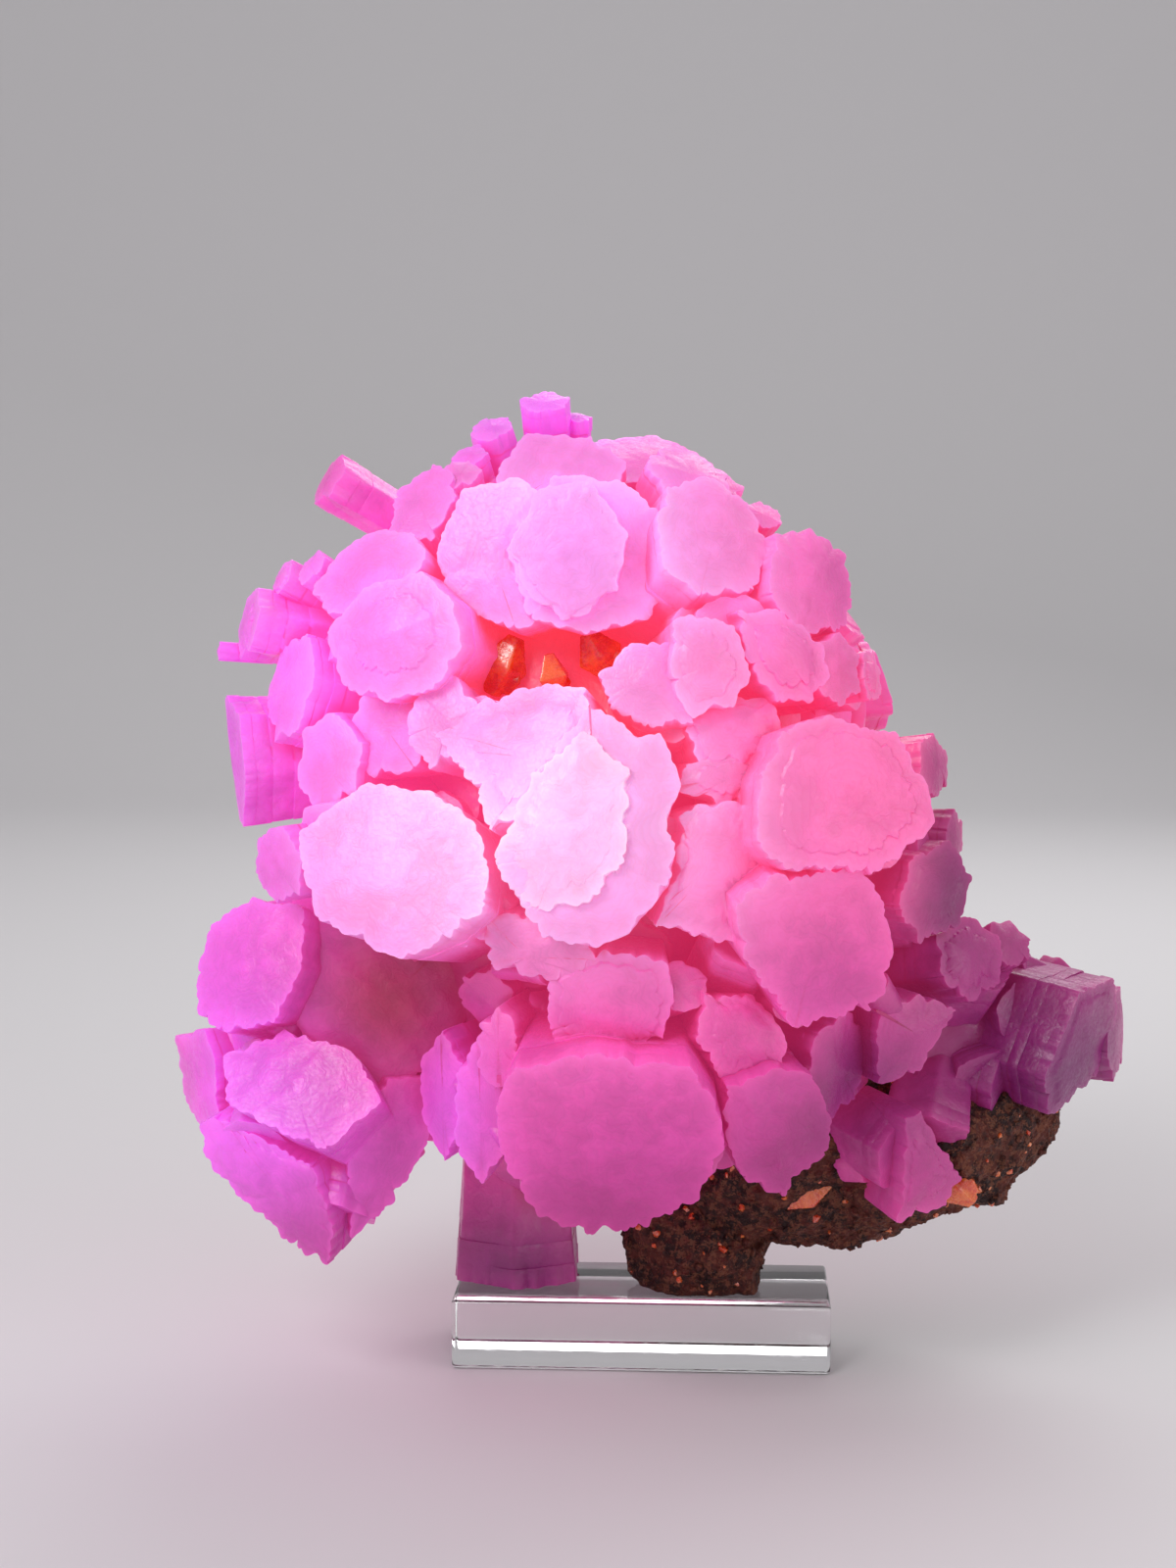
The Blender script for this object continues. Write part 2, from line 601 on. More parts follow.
class Crystal:
    """One crystal with a bitten rim, stacked plates down its sides and growth steps on its end face."""

    def __init__(self, prism: Prism, habit: Habit, seed: int) -> None:
        """Takes the crystal's place and habit, and its own random numbers.

        Args:
            prism: Its place and outline.
            habit: How it is cut and worn.
            seed: What its random numbers start from.
        """
        self.prism = prism
        self.habit = habit
        self.chance = np.random.default_rng(seed)
        corners = anticlockwise(prism.outline)
        corners *= 1.0 - self.chance.uniform(*CORNER_SHIFT, (len(corners), 1)) * habit.warp
        perimeter = np.linalg.norm(np.roll(corners, -1, axis=0) - corners, axis=1).sum()
        count = 8 * max(4, round(perimeter / habit.spacing / 8.0))
        self.perimeter = perimeter
        self.ring = eased(evenly_round(corners, count), 2)
        self.around = np.arange(count) * perimeter / count
        self.radius = perimeter / (2.0 * math.pi)
        self.rings: list[np.ndarray] = []
        self.marks: list[np.ndarray] = []
        self.falls: list[np.ndarray] = []
        self.facets = [
            (turn, self.chance.uniform(*FACET_START) * self.radius, self.chance.uniform(*habit.facet_slope))
            for turn in self.chance.uniform(0.0, math.tau, self.chance.integers(*habit.facets))
        ]

    def wavering(self, period: float, power: float = 1.0) -> np.ndarray:
        """Random values round the rim, straight between knots.

        Args:
            period: The mean distance between knots, in millimetres.
            power: Above 1, most of the values stay low.

        Returns:
            A value from 0 to 1 for each point of the ring.
        """
        count = max(3, round(self.perimeter / period))
        strays = self.chance.uniform(-KNOT_STRAY, KNOT_STRAY, count)
        knots = (np.arange(count) + strays) * self.perimeter / count
        values = self.chance.random(count) ** power
        return np.interp(self.around, knots, values, period=self.perimeter)

    def scalloped(self, narrow: float, wide: float, depth: float) -> np.ndarray:
        """A rim of lobes that meet in sharp notches.

        Args:
            narrow: The least width of a lobe.
            wide: The greatest width.
            depth: The deepest notch.

        Returns:
            How far inward each point of the rim moves.
        """
        ends = np.cumsum(self.chance.uniform(narrow, wide, int(self.perimeter / narrow) + 3))
        count = max(3, int(np.searchsorted(ends, self.perimeter)))
        ends = ends[:count] * self.perimeter / ends[count - 1]
        starts = np.concatenate([[0.0], ends[:-1]])
        notches = depth * self.chance.random(count) ** NOTCH_POWER
        lobe = np.minimum(np.searchsorted(ends, self.around, side="right"), count - 1)
        along = 2.0 * (self.around - starts[lobe]) / (ends[lobe] - starts[lobe]) - 1.0
        notch = np.where(along < 0.0, notches[lobe - 1], notches[lobe])
        return notch * np.abs(along) ** LOBE_POWER

    def ragged(self) -> np.ndarray:
        """How far the rim is broken inward at each point, most of all along its lower edges.

        Returns:
            A distance for each point of the ring.
        """
        down = np.clip(inward(self.ring)[:, 1], 0.0, 1.0)
        swing = np.clip(BREAK_SWING * self.wavering(self.habit.break_every) + BREAK_START, *BREAK_LIMITS)
        broken = swing * (UPPER_BREAK + LOWER_BREAK * down)
        return broken * sum(self.scalloped(*lobe) for lobe in self.habit.lobes) + self.teeth()

    def teeth(self) -> np.ndarray:
        """Fine angular teeth all round the rim."""
        return self.habit.tooth_depth * self.wavering(self.habit.tooth_every, 1.6)

    def drop(self, flat: np.ndarray) -> np.ndarray:
        """How far the end face falls away at each place, where a gently sloping facet cuts it.

        Args:
            flat: Right and up of each place.

        Returns:
            A distance for each place.
        """
        fallen = np.zeros(len(flat))
        for turn, start, slope in self.facets:
            along = flat[:, 0] * math.cos(turn) + flat[:, 1] * math.sin(turn)
            fallen = np.maximum(fallen, slope * (along - start))
        return fallen

    def add_ring(self, flat: np.ndarray, below: np.ndarray | float, marks: Point, fall: float = 1.0) -> None:
        """Puts one more ring on the stack.

        Args:
            flat: Right and up of each point.
            below: How far each point lies below the tip.
            marks: Rim, contour and depth there.
            fall: How fully the ring follows the facets of the end face.
        """
        self.falls.append(np.full(len(flat), fall))
        self.rings.append(np.column_stack([flat, -np.broadcast_to(below, len(flat))]))
        self.marks.append(np.tile(marks, (len(flat), 1)))

    def inset(self, amount: np.ndarray | float, below: float) -> np.ndarray:
        """The outline at a depth, narrowed by the taper and moved in by an amount.

        Args:
            amount: How far each point moves in.
            below: The depth below the tip.

        Returns:
            The ring, as right and up.
        """
        taper = 1.0 - (1.0 - ROOT_TAPER) * below / self.prism.length
        offset = np.minimum(np.broadcast_to(amount, len(self.ring)), DEEPEST_INSET * self.radius)
        return self.ring * taper + inward(self.ring) * offset[:, None]

    def add_sides(self, rim_below: float) -> np.ndarray:
        """Stacks the rings of the sides from the root up to the rim.

        Args:
            rim_below: How far the rim lies below the tip.

        Returns:
            The rim's own inset, which the end face starts from.
        """
        habit, length = self.habit, self.prism.length
        rim = self.ragged()
        high = np.maximum(0.0, self.wavering(habit.groove_every) - GROOVE_LIMIT)
        grooves = habit.groove * high / (1.0 - GROOVE_LIMIT)
        flutes = habit.flute * self.wavering(habit.flute_every)
        levels = []
        top = rim_below
        plated = min(habit.plated_depth, PLATED_SHARE * length)
        while top < rim_below + plated:
            first = top == rim_below
            thick = self.chance.uniform(*habit.plate) * (FIRST_PLATE if first else 1.0)
            lower = np.zeros_like(self.around)
            if not first:
                lower = habit.ledge * self.wavering(habit.ledge_every, 1.8)
            own = lower + 0.4 * self.teeth()
            broken = np.clip(2.2 * lower / habit.ledge, 0.15, 1.0)
            for share, worn in PLATE_LEVELS:
                below = top + share * thick
                fade = math.exp(-(below - rim_below) / habit.rim_fade)
                offset = rim * fade + grooves * math.exp(-(below - rim_below) / habit.groove_fade) + flutes
                offset = offset + own * (1.0 - 0.7 * fade) + worn * broken
                levels.append((below, offset))
            top += thick
        levels.append((0.5 * (top + length), flutes + 0.3 * grooves))
        levels.append((length, flutes))
        for below, offset in reversed(levels):
            near = math.exp(-(below - rim_below) / NEAR_FADE)
            fall = math.exp(-(below - rim_below) / habit.facet_fade)
            self.add_ring(self.inset(offset, below), below, (near, 0.0, min(1.0, below / DEEPEST_MARK)), fall)
        return levels[0][1]

    def relief(self, flat: np.ndarray, waves: list[np.ndarray]) -> np.ndarray:
        """Shallow waves over the end face, a few random ones added up."""
        return sum(self.habit.relief * np.sin(flat @ wave[:2] + wave[2]) for wave in waves)

    def outlines(
        self,
        middle: np.ndarray,
        rim_inset: np.ndarray,
        steps: list[float],
        dome: float,
    ) -> list[tuple[np.ndarray, float, float]]:
        """The outlines of the end face and of its terraces, from the rim to the middle.

        Args:
            middle: Where the rings close in.
            rim_inset: How far the rim is moved in at each point.
            steps: The height of each terrace.
            dome: How far the face bulges.

        Returns:
            Each outline with its depth below the tip and its size, from 1 at the rim to 0 in the middle.
        """
        share = 1.0
        below = sum(steps) + dome
        found = [(self.inset(rim_inset + 0.1, 0.0), below, share)]
        for step in steps:
            share *= self.chance.uniform(*TERRACE_SHARES)
            edge = middle + (eased(self.ring, 3) - middle) * share
            edge = edge + inward(self.ring) * (0.8 * self.ragged())[:, None]
            edge += self.chance.uniform(-TERRACE_STRAY, TERRACE_STRAY, 2) * self.radius
            top = middle + (edge - middle) * (1.0 - self.habit.riser / (share * self.radius))
            found.append((edge, below - 0.08, share))
            below -= step
            found.append((top, below, share * 0.97))
        found.append((np.broadcast_to(middle, self.ring.shape), below - dome, 0.0))
        return found

    def add_end_face(self, rim_inset: np.ndarray, steps: list[float], dome: float) -> Point:
        """Stacks the rings of the end face from the rim to its middle, with its terraces.

        Args:
            rim_inset: How far the rim is moved in at each point.
            steps: The height of each terrace.
            dome: How far the face bulges.

        Returns:
            The point in its middle.
        """
        habit = self.habit
        middle = self.chance.uniform(-MIDDLE_STRAY, MIDDLE_STRAY, 2) * self.radius
        waves = []
        for turn in self.chance.uniform(0.0, math.tau, 3):
            way = self.chance.normal(0.0, 1.0, 2)
            waves.append(np.append(way * math.tau / self.chance.uniform(*habit.relief_every), turn))
        anchors = self.outlines(middle, rim_inset, steps, dome)
        stride = 1
        for (outer, high, far), (inner, low, near) in zip(anchors, anchors[1:]):
            gap = (far - near) * self.radius
            between = max(1, round(gap / habit.cap_spacing))
            for step in range(1, between + 1):
                part = step / between
                if near == 0.0 and part == 1.0:
                    break
                flat = outer + (inner - outer) * part
                reach = far + (near - far) * part
                while reach * len(self.ring) / stride > FEWEST_POINTS and reach < 0.5 / stride:
                    stride *= 2
                flat = flat[::stride]
                plane = high + (low - high) * (part if near else 1.0 - (1.0 - part) ** 2)
                uneven = self.relief(flat, waves) * min(1.0, 4.0 * (1.0 - reach) + 0.15)
                away = (1.0 - reach) * self.radius
                rim = 0.55 * math.exp(-away / 1.3) + 0.45 * math.exp(-away / 6.0)
                self.add_ring(flat, plane + np.maximum(uneven, -0.1), (rim, 1.0 - reach, 0.0))
        return (*middle, -anchors[-1][1])

    def shell(self) -> Shell:
        """Builds the crystal.

        Returns:
            Its closed skin, in millimetres in the frame.
        """
        habit = self.habit
        steps = [self.chance.uniform(*habit.terrace_step) for _ in range(self.chance.choice(habit.terraces))]
        dome = self.chance.uniform(*habit.dome) * min(1.0, self.radius / FULL_DOME_RADIUS)
        rim_inset = self.add_sides(sum(steps) + dome)
        middle = self.add_end_face(rim_inset, steps, dome)
        local, triangles = stacked(self.rings, (0.0, 0.0, -self.prism.length), middle)
        local[:, 2] -= self.drop(local[:, :2]) * np.concatenate([*self.falls, [0.0, 1.0]])
        marks = np.vstack([*self.marks, (0.0, 0.0, 1.0), (0.0, 1.0, 0.0)])
        shade = np.full((len(marks), 1), self.chance.random())
        points = np.array(self.prism.tip, float) + local @ facing(self.prism.yaw, self.prism.pitch).T
        return Shell(points, triangles, np.hstack([marks, shade]))


def mesh_from(name: str, points: np.ndarray, triangles: np.ndarray) -> bpy.types.Mesh:
    """A mesh of triangles.

    Args:
        name: The mesh's name.
        points: The points, in millimetres.
        triangles: Rows of three point numbers.

    Returns:
        The mesh, in metres.
    """
    mesh = bpy.data.meshes.new(name)
    mesh.vertices.add(len(points))
    mesh.vertices.foreach_set("co", (points * MM).astype(np.float32).ravel())
    mesh.loops.add(3 * len(triangles))
    mesh.loops.foreach_set("vertex_index", triangles.astype(np.int32).ravel())
    mesh.polygons.add(len(triangles))
    mesh.polygons.foreach_set("loop_start", np.arange(0, 3 * len(triangles), 3, dtype=np.int32))
    mesh.update(calc_edges=True)
    return mesh


def place(name: str, mesh: bpy.types.Mesh) -> bpy.types.Object:
    """A new object of this mesh, in the scene.

    Args:
        name: The object's name.
        mesh: Its mesh.

    Returns:
        The object.
    """
    made = bpy.data.objects.new(name, mesh)
    bpy.context.scene.collection.objects.link(made)
    return made


def points_of(mesh: bpy.types.Mesh) -> np.ndarray:
    """The mesh's points, one a row, in metres.

    Args:
        mesh: The mesh.

    Returns:
        The points.
    """
    flat = np.empty(3 * len(mesh.vertices), np.float32)
    mesh.vertices.foreach_get("co", flat)
    return flat.reshape(-1, 3).astype(float)


def normals_of(mesh: bpy.types.Mesh) -> np.ndarray:
    """The mesh's smooth normals, one a row.

    Args:
        mesh: The mesh.

    Returns:
        The normals.
    """
    flat = np.empty(3 * len(mesh.vertices), np.float32)
    mesh.vertices.foreach_get("normal", flat)
    return flat.reshape(-1, 3).astype(float)


def set_numbers(mesh: bpy.types.Mesh, name: str, values: np.ndarray) -> None:
    """Stores one number at each point of a mesh, under a name that the finish reads."""
    held = mesh.attributes.get(name) or mesh.attributes.new(name, "FLOAT", "POINT")
    held.data.foreach_set("value", values.astype(np.float32))


def set_colours(mesh: bpy.types.Mesh, name: str, values: np.ndarray) -> None:
    """Stores one linear colour at each point of a mesh, under a name that the finish reads."""
    held = mesh.attributes.get(name) or mesh.attributes.new(name, "FLOAT_COLOR", "POINT")
    held.data.foreach_set("color", np.hstack([values, np.ones((len(values), 1))]).astype(np.float32).ravel())


def linear(colour: Colour) -> np.ndarray:
    """The scene's linear value of a colour as the eye sees it."""
    seen = np.array(colour)
    return np.where(seen <= 0.04045, seen / 12.92, ((seen + 0.055) / 1.055) ** 2.4)


def grown_together(name: str, shells: list[Shell]) -> bpy.types.Object:
    """Joins closed shells that run into each other in one closed skin.

    Args:
        name: The new piece's name.
        shells: The shells.

    Returns:
        The joined piece.
    """
    joined = place(name, mesh_from(name, shells[0].points, shells[0].triangles))
    if len(shells) == 1:
        return joined
    others = bpy.data.collections.new(name + "_crystals")
    bpy.context.scene.collection.children.link(others)
    for number, shell in enumerate(shells[1:]):
        mesh = mesh_from(f"{name}_{number}", shell.points, shell.triangles)
        others.objects.link(bpy.data.objects.new(mesh.name, mesh))
    union = joined.modifiers.new("join", "BOOLEAN")
    union.operand_type = "COLLECTION"
    union.collection = others
    union.operation = "UNION"
    union.solver = "MANIFOLD"
    graph = bpy.context.evaluated_depsgraph_get()
    mesh = bpy.data.meshes.new_from_object(joined.evaluated_get(graph))
    joined.modifiers.clear()
    joined.data = mesh
    for helper in list(others.objects):
        bpy.data.meshes.remove(helper.data)
    bpy.data.collections.remove(others)
    return joined


def hand_over_marks(shells: list[Shell], mesh: bpy.types.Mesh) -> None:
    """Gives each point of a joined mesh the marks of the nearest point of the shells in it.

    Args:
        shells: The shells, with their marks.
        mesh: The mesh that they were joined in.
    """
    points = np.vstack([shell.points for shell in shells]) * MM
    marks = np.vstack([shell.marks for shell in shells])
    tree = KDTree(len(points))
    for number, point in enumerate(points):
        tree.insert(point, number)
    tree.balance()
    nearest = np.array([tree.find(vertex.co)[1] for vertex in mesh.vertices])
    for column, mark in enumerate(MARKS):
        set_numbers(mesh, mark, marks[nearest, column])


# How many points stand for a crystal's rim where places are sought in it
RIM_SAMPLES = 48


@lru_cache(maxsize=None)
def rim_reach(prism: Prism) -> tuple[np.ndarray, np.ndarray]:
    """The direction and the distance of points all round a crystal's rim, seen from its middle."""
    rim = evenly_round(anticlockwise(prism.outline), RIM_SAMPLES)
    return np.arctan2(rim[:, 1], rim[:, 0]), np.hypot(*rim.T)


def place_in(prism: Prism, points: np.ndarray) -> tuple[np.ndarray, np.ndarray]:
    """Where points lie as a crystal sees them.

    Args:
        prism: The crystal.
        points: The points, in millimetres in the frame.

    Returns:
        How deep each lies below the tip, and how far within the rim.
    """
    local = (points - np.array(prism.tip, float)) @ facing(prism.yaw, prism.pitch)
    depth = -local[:, 2]
    flat = local[:, :2] / (1.0 - (1.0 - ROOT_TAPER) * np.clip(depth / prism.length, 0.0, 1.0))[:, None]
    turns, reaches = rim_reach(prism)
    reach = np.interp(np.arctan2(flat[:, 1], flat[:, 0]), turns, reaches, period=math.tau)
    return depth, reach - np.hypot(flat[:, 0], flat[:, 1])


def inside(prism: Prism, points: np.ndarray) -> np.ndarray:
    """Which points lie inside a crystal."""
    depth, within = place_in(prism, points)
    return (within > 0.0) & (depth > 0.0) & (depth < prism.length)


class Crowding:
    """How much crystal and rock lies round each place, on a grid of cells.

    The close and the wide surroundings reach so many cells each way, and each is read at its own distance
    ahead of the surface. Crystals crowd where more than this share of the wide surroundings is filled.
    """

    cell: float = 1.25
    low: np.ndarray = np.array((-100.0, -74.0, 10.0))
    counts: tuple[int, int, int] = (164, 112, 154)
    close_cells: int = 2
    wide_cells: int = 5
    close_ahead: float = 3.4
    wide_ahead: float = 8.0
    crowded: float = 0.4
    farthest: float = 46.0

    def __init__(self, prisms: tuple[Prism, ...], lumps: tuple[tuple[Point, Point], ...]) -> None:
        """Fills the cells that lie inside a crystal or a lump, then spreads them over their surroundings.

        Args:
            prisms: The crystals.
            lumps: The middle and half sizes of each lump.
        """
        filled = np.zeros(self.counts, np.float32)
        for prism in prisms:
            axis = facing(prism.yaw, prism.pitch)[:, 2]
            middle = np.array(prism.tip, float) - axis * 0.5 * prism.length
            reach = 0.5 * prism.length + max(math.hypot(*corner) for corner in prism.outline)
            block, points = self.near(middle, reach)
            filled[block] = np.maximum(filled[block], inside(prism, points).reshape(filled[block].shape))
        for centre, half in lumps:
            block, points = self.near(np.array(centre), max(half))
            within = np.sum(((points - np.array(centre)) / np.array(half)) ** 2, axis=1) < 1.0
            filled[block] = np.maximum(filled[block], within.reshape(filled[block].shape))
        self.close = self.spread(filled, self.close_cells)
        self.wide = self.spread(filled, self.wide_cells)

    def near(self, middle: np.ndarray, reach: float) -> tuple[tuple[slice, ...], np.ndarray]:
        """The cells within a reach of a place, and their middles as rows.

        Args:
            middle: The place.
            reach: The reach, in millimetres.

        Returns:
            The block of cells, and the middle of each cell.
        """
        counts = np.array(self.counts)
        first = np.clip(np.floor((middle - reach - self.low) / self.cell), 0, counts - 1).astype(int)
        last = np.clip(np.ceil((middle + reach - self.low) / self.cell), first + 1, counts).astype(int)
        block = tuple(slice(start, stop) for start, stop in zip(first, last))
        axes = [self.low[k] + self.cell * np.arange(first[k], last[k]) for k in range(3)]
        return block, np.stack(np.meshgrid(*axes, indexing="ij"), axis=-1).reshape(-1, 3)

    @staticmethod
    def spread(filled: np.ndarray, reach: int) -> np.ndarray:
        """The mean of the cells within a reach each way, taken twice so that it falls off smoothly.

        Args:
            filled: The cells.
            reach: How many cells each way.

        Returns:
            The cells' means.
        """
        for axis in (0, 1, 2, 0, 1, 2):
            padding = [(0, 0)] * 3
            padding[axis] = (reach + 1, reach)
            total = np.cumsum(np.pad(filled, padding), axis=axis, dtype=np.float64)
            count = filled.shape[axis]
            ahead = np.take(total, np.arange(2 * reach + 1, 2 * reach + 1 + count), axis=axis)
            behind = np.take(total, np.arange(count), axis=axis)
            filled = (ahead - behind) / (2 * reach + 1)
        return filled

    def at(self, grid: np.ndarray, points: np.ndarray) -> np.ndarray:
        """The grid's value at each point, blended between the eight cells round it.

        Args:
            grid: The cells' values.
            points: The points, in millimetres.

        Returns:
            One value for each point.
        """
        spot = np.clip((points - self.low) / self.cell, 0.0, np.array(self.counts) - 1.001)
        base = spot.astype(int)
        part = spot - base
        value = np.zeros(len(points))
        for corner in np.ndindex(2, 2, 2):
            share = np.prod(np.where(corner, part, 1.0 - part), axis=1)
            value += share * grid[tuple((base + corner).T)]
        return value

    def surface(self, roots: np.ndarray, outward: np.ndarray) -> np.ndarray:
        """How far out from each root, its own way, the crystals still crowd, in millimetres.

        Args:
            roots: The places to start from.
            outward: Each one's own way out.

        Returns:
            One distance for each root.
        """
        steps = np.arange(0.0, self.farthest)
        places = roots[:, None, :] + outward[:, None, :] * steps[None, :, None]
        crowded = self.at(self.wide, places.reshape(-1, 3)).reshape(len(roots), -1) > self.crowded
        return (crowded * steps).max(axis=1)

    def mark(self, piece: bpy.types.Object) -> None:
        """Stores how closed in each point is, from 0 in the open to 1 deep in a crevice.

        Args:
            piece: The piece to mark.
        """
        points, outward = points_of(piece.data) / MM, normals_of(piece.data)
        close = self.at(self.close, points + outward * self.close_ahead)
        wide = self.at(self.wide, points + outward * self.wide_ahead)
        set_numbers(piece.data, "shelter", np.clip(1.5 * (0.55 * close + 0.45 * wide) - 0.18, 0.0, 1.0))


@dataclass(frozen=True)
class Glow:
    """A patch where the crystals turn towards another hue: its middle, its reach each way, and how far."""

    tint: Tint
    middle: Point
    reach: Point
    share: float

    def over(self, points: np.ndarray) -> np.ndarray:
        """The patch's share at each point, which fades with distance from its middle."""
        away = (points - np.array(self.middle)) / np.array(self.reach)
        return self.share * np.exp(-np.sum(away * away, axis=1))


GLOWS = (
    Glow(Tint.ORCHID, (-62, -20, 138), (38, 60, 46), 1.0),
    Glow(Tint.SALMON, (42, -40, 130), (42, 50, 46), 1.0),
    Glow(Tint.ORCHID, (10, 52, 160), (46, 36, 34), 0.7),
    Glow(Tint.SALMON, (-30, 52, 110), (34, 36, 32), 0.7),
    Glow(Tint.MAUVE, (20, 52, 70), (50, 36, 34), 0.8),
    Glow(Tint.MAUVE, (4, -46, 54), (48, 46, 34), 1.0),
    Glow(Tint.VIOLET, (-74, -34, 58), (30, 46, 40), 1.0),
    Glow(Tint.VIOLET, (-35, -44, 58), (11, 16, 20), 0.8),
    Glow(Tint.DUSK, (-88, -12, 134), (15, 26, 34), 0.35),
    Glow(Tint.VIOLET, (-86, -12, 130), (17, 26, 34), 0.8),
    Glow(Tint.LILAC, (-24, 2, 190), (26, 24, 12), 0.8),
    Glow(Tint.MAUVE, (-64, -8, 180), (12, 16, 10), 0.7),
    Glow(Tint.MAUVE, (36, -58, 84), (16, 12, 15), 0.6),
    Glow(Tint.MAUVE, (40, -34, 160), (11, 18, 15), 0.6),
    Glow(Tint.PLUM, (80, -12, 64), (40, 50, 36), 1.0),
    Glow(Tint.PLUM, (64, -32, 122), (14, 14, 22), 0.8),
    Glow(Tint.PLUM, (63, -34, 98), (16, 13, 17), 0.85),
    Glow(Tint.DUSK, (74, 6, 116), (24, 30, 40), 0.7),
    Glow(Tint.CROWN, (-12, -48, 168), (32, 30, 26), 0.95),
    Glow(Tint.HEART, (-12, -66, 119), (28, 24, 26), 0.9),
    Glow(Tint.HEART, (-43, -60, 110), (22, 20, 19), 0.5),
    Glow(Tint.DUSK, (-2, -56, 36), (42, 30, 17), 0.9),
    Glow(Tint.DUSK, (34, -48, 50), (15, 14, 18), 0.75),
    Glow(Tint.PLUM, (42, -38, 62), (11, 14, 14), 0.8),
    Glow(Tint.DUSK, (-64, -36, 30), (28, 30, 15), 0.5),
    Glow(Tint.PLUM, (-26, 0, 19), (24, 34, 18), 1.0),
    Glow(Tint.RECESS, (-49, -25, 78), (21, 17, 22), 1.0),
    Glow(Tint.EMBER, (-16, -36, 142), (15, 12, 9), 0.8),
)
CAVITY_GLOW = (Glow(Tint.EMBER, CAVITY_CENTRE, (24, 30, 20), 1.0),)

# A crevice's hue against the open hue, in linear red, green and blue
DEEPER = np.array((0.90, 0.56, 0.60))

# Each crystal's own brightness, least and greatest, and how far its own hue turns in red, green and blue
OWN_BRIGHTNESS = (0.94, 1.06)
HUE_TURN = (0.0, 0.12, -0.04)

# Times this, a crystal's shade gives a second number that is unlike the first
SECOND_NUMBER = 7.3


def blended(points: np.ndarray, hue: np.ndarray, glows: tuple[Glow, ...]) -> np.ndarray:
    """The linear hue at each point.

    Args:
        points: The points, in millimetres in the frame.
        hue: The hue away from every glow.
        glows: The patches that change it, one after another.

    Returns:
        One colour a row.
    """
    for glow in glows:
        share = glow.over(points)[:, None]
        hue = hue * (1.0 - share) + linear(glow.tint.value) * share
    return hue


@dataclass(frozen=True)
class Spray:
    """Crystals that stand together, joined in one skin."""

    name: str
    prisms: tuple[Prism, ...]
    seed: int
    habit: Habit = FINE

    def shells(self) -> list[Shell]:
        """Every crystal's own skin."""
        first_seed = 1000 * self.seed
        return [Crystal(prism, self.habit, first_seed + k).shell() for k, prism in enumerate(self.prisms)]

    def build(self, roots: tuple[Shell, ...] = ()) -> bpy.types.Object:
        """Joins the crystals, and the roots that they stand on, and colours them.

        Args:
            roots: The shells that the crystals stand on, if they are part of this piece.

        Returns:
            The piece.
        """
        shells = [*roots, *self.shells()]
        piece = grown_together(self.name, shells)
        hand_over_marks(shells, piece.data)
        self.colour(piece.data)
        return piece

    @staticmethod
    def colour(mesh: bpy.types.Mesh) -> None:
        """Stores each point's hue, which the glows give, with a little of each crystal's own.

        Args:
            mesh: The mesh to colour.
        """
        points = points_of(mesh) / MM
        shade = np.empty(len(points), np.float32)
        mesh.attributes["shade"].data.foreach_get("value", shade)
        ground = np.tile(linear(Tint.ROSE.value), (len(points), 1))
        hue = blended(points, ground, GLOWS)
        own = shade[:, None].astype(float)
        darkest, brightest = OWN_BRIGHTNESS
        turned = np.modf(own * SECOND_NUMBER)[0] - 0.5
        varied = hue * (darkest + (brightest - darkest) * own) * (1.0 + turned * np.array(HUE_TURN))
        set_colours(mesh, "hue", np.clip(varied, 0.0, 1.0))
        set_colours(mesh, "deep_hue", blended(points, hue * DEEPER, CAVITY_GLOW))


def cluster_sprays() -> tuple[Spray, ...]:
    """Every spray of the cluster, in the order in which they are built.

    Returns:
        The sprays.
    """
    chance = random.Random(SPIRAL_SEED)
    back, front, left, right = (
        cover.prisms(chance) for cover in (BACK_COVER, FRONT_COVER, LEFT_COVER, RIGHT_COVER)
    )
    upper = tuple(prism for prism in back if prism.tip[2] >= BACK_SPLIT_HEIGHT)
    lower = tuple(prism for prism in back if prism.tip[2] < BACK_SPLIT_HEIGHT)
    return (
        Spray("crown_crystals", CROWN, 1),
        Spray("right_shoulder_crystals", RIGHT_SHOULDER, 2),
        Spray("left_shoulder_crystals", LEFT_SHOULDER, 3),
        Spray("heart_crystals", HEART, 4),
        Spray("right_flank_crystals", RIGHT_FLANK, 5),
        Spray("lower_front_crystals", LOWER_FRONT, 6),
        Spray("left_wing_crystals", LEFT_WING, 7),
        Spray("recess_crystal", RECESS, 15, BARE),
        Spray("right_wing_crystals", RIGHT_WING, 8),
        Spray("front_gap_crystals", front, 9, HIDDEN),
        Spray("back_upper_crystals", upper, 10, HIDDEN),
        Spray("back_lower_crystals", lower, 11, HIDDEN),
        Spray("back_foot_crystals", BACK_FOOT, 20, HIDDEN),
        Spray("left_wing_back_crystals", left, 12, HIDDEN),
        Spray("right_wing_back_crystals", right, 13, HIDDEN),
    )


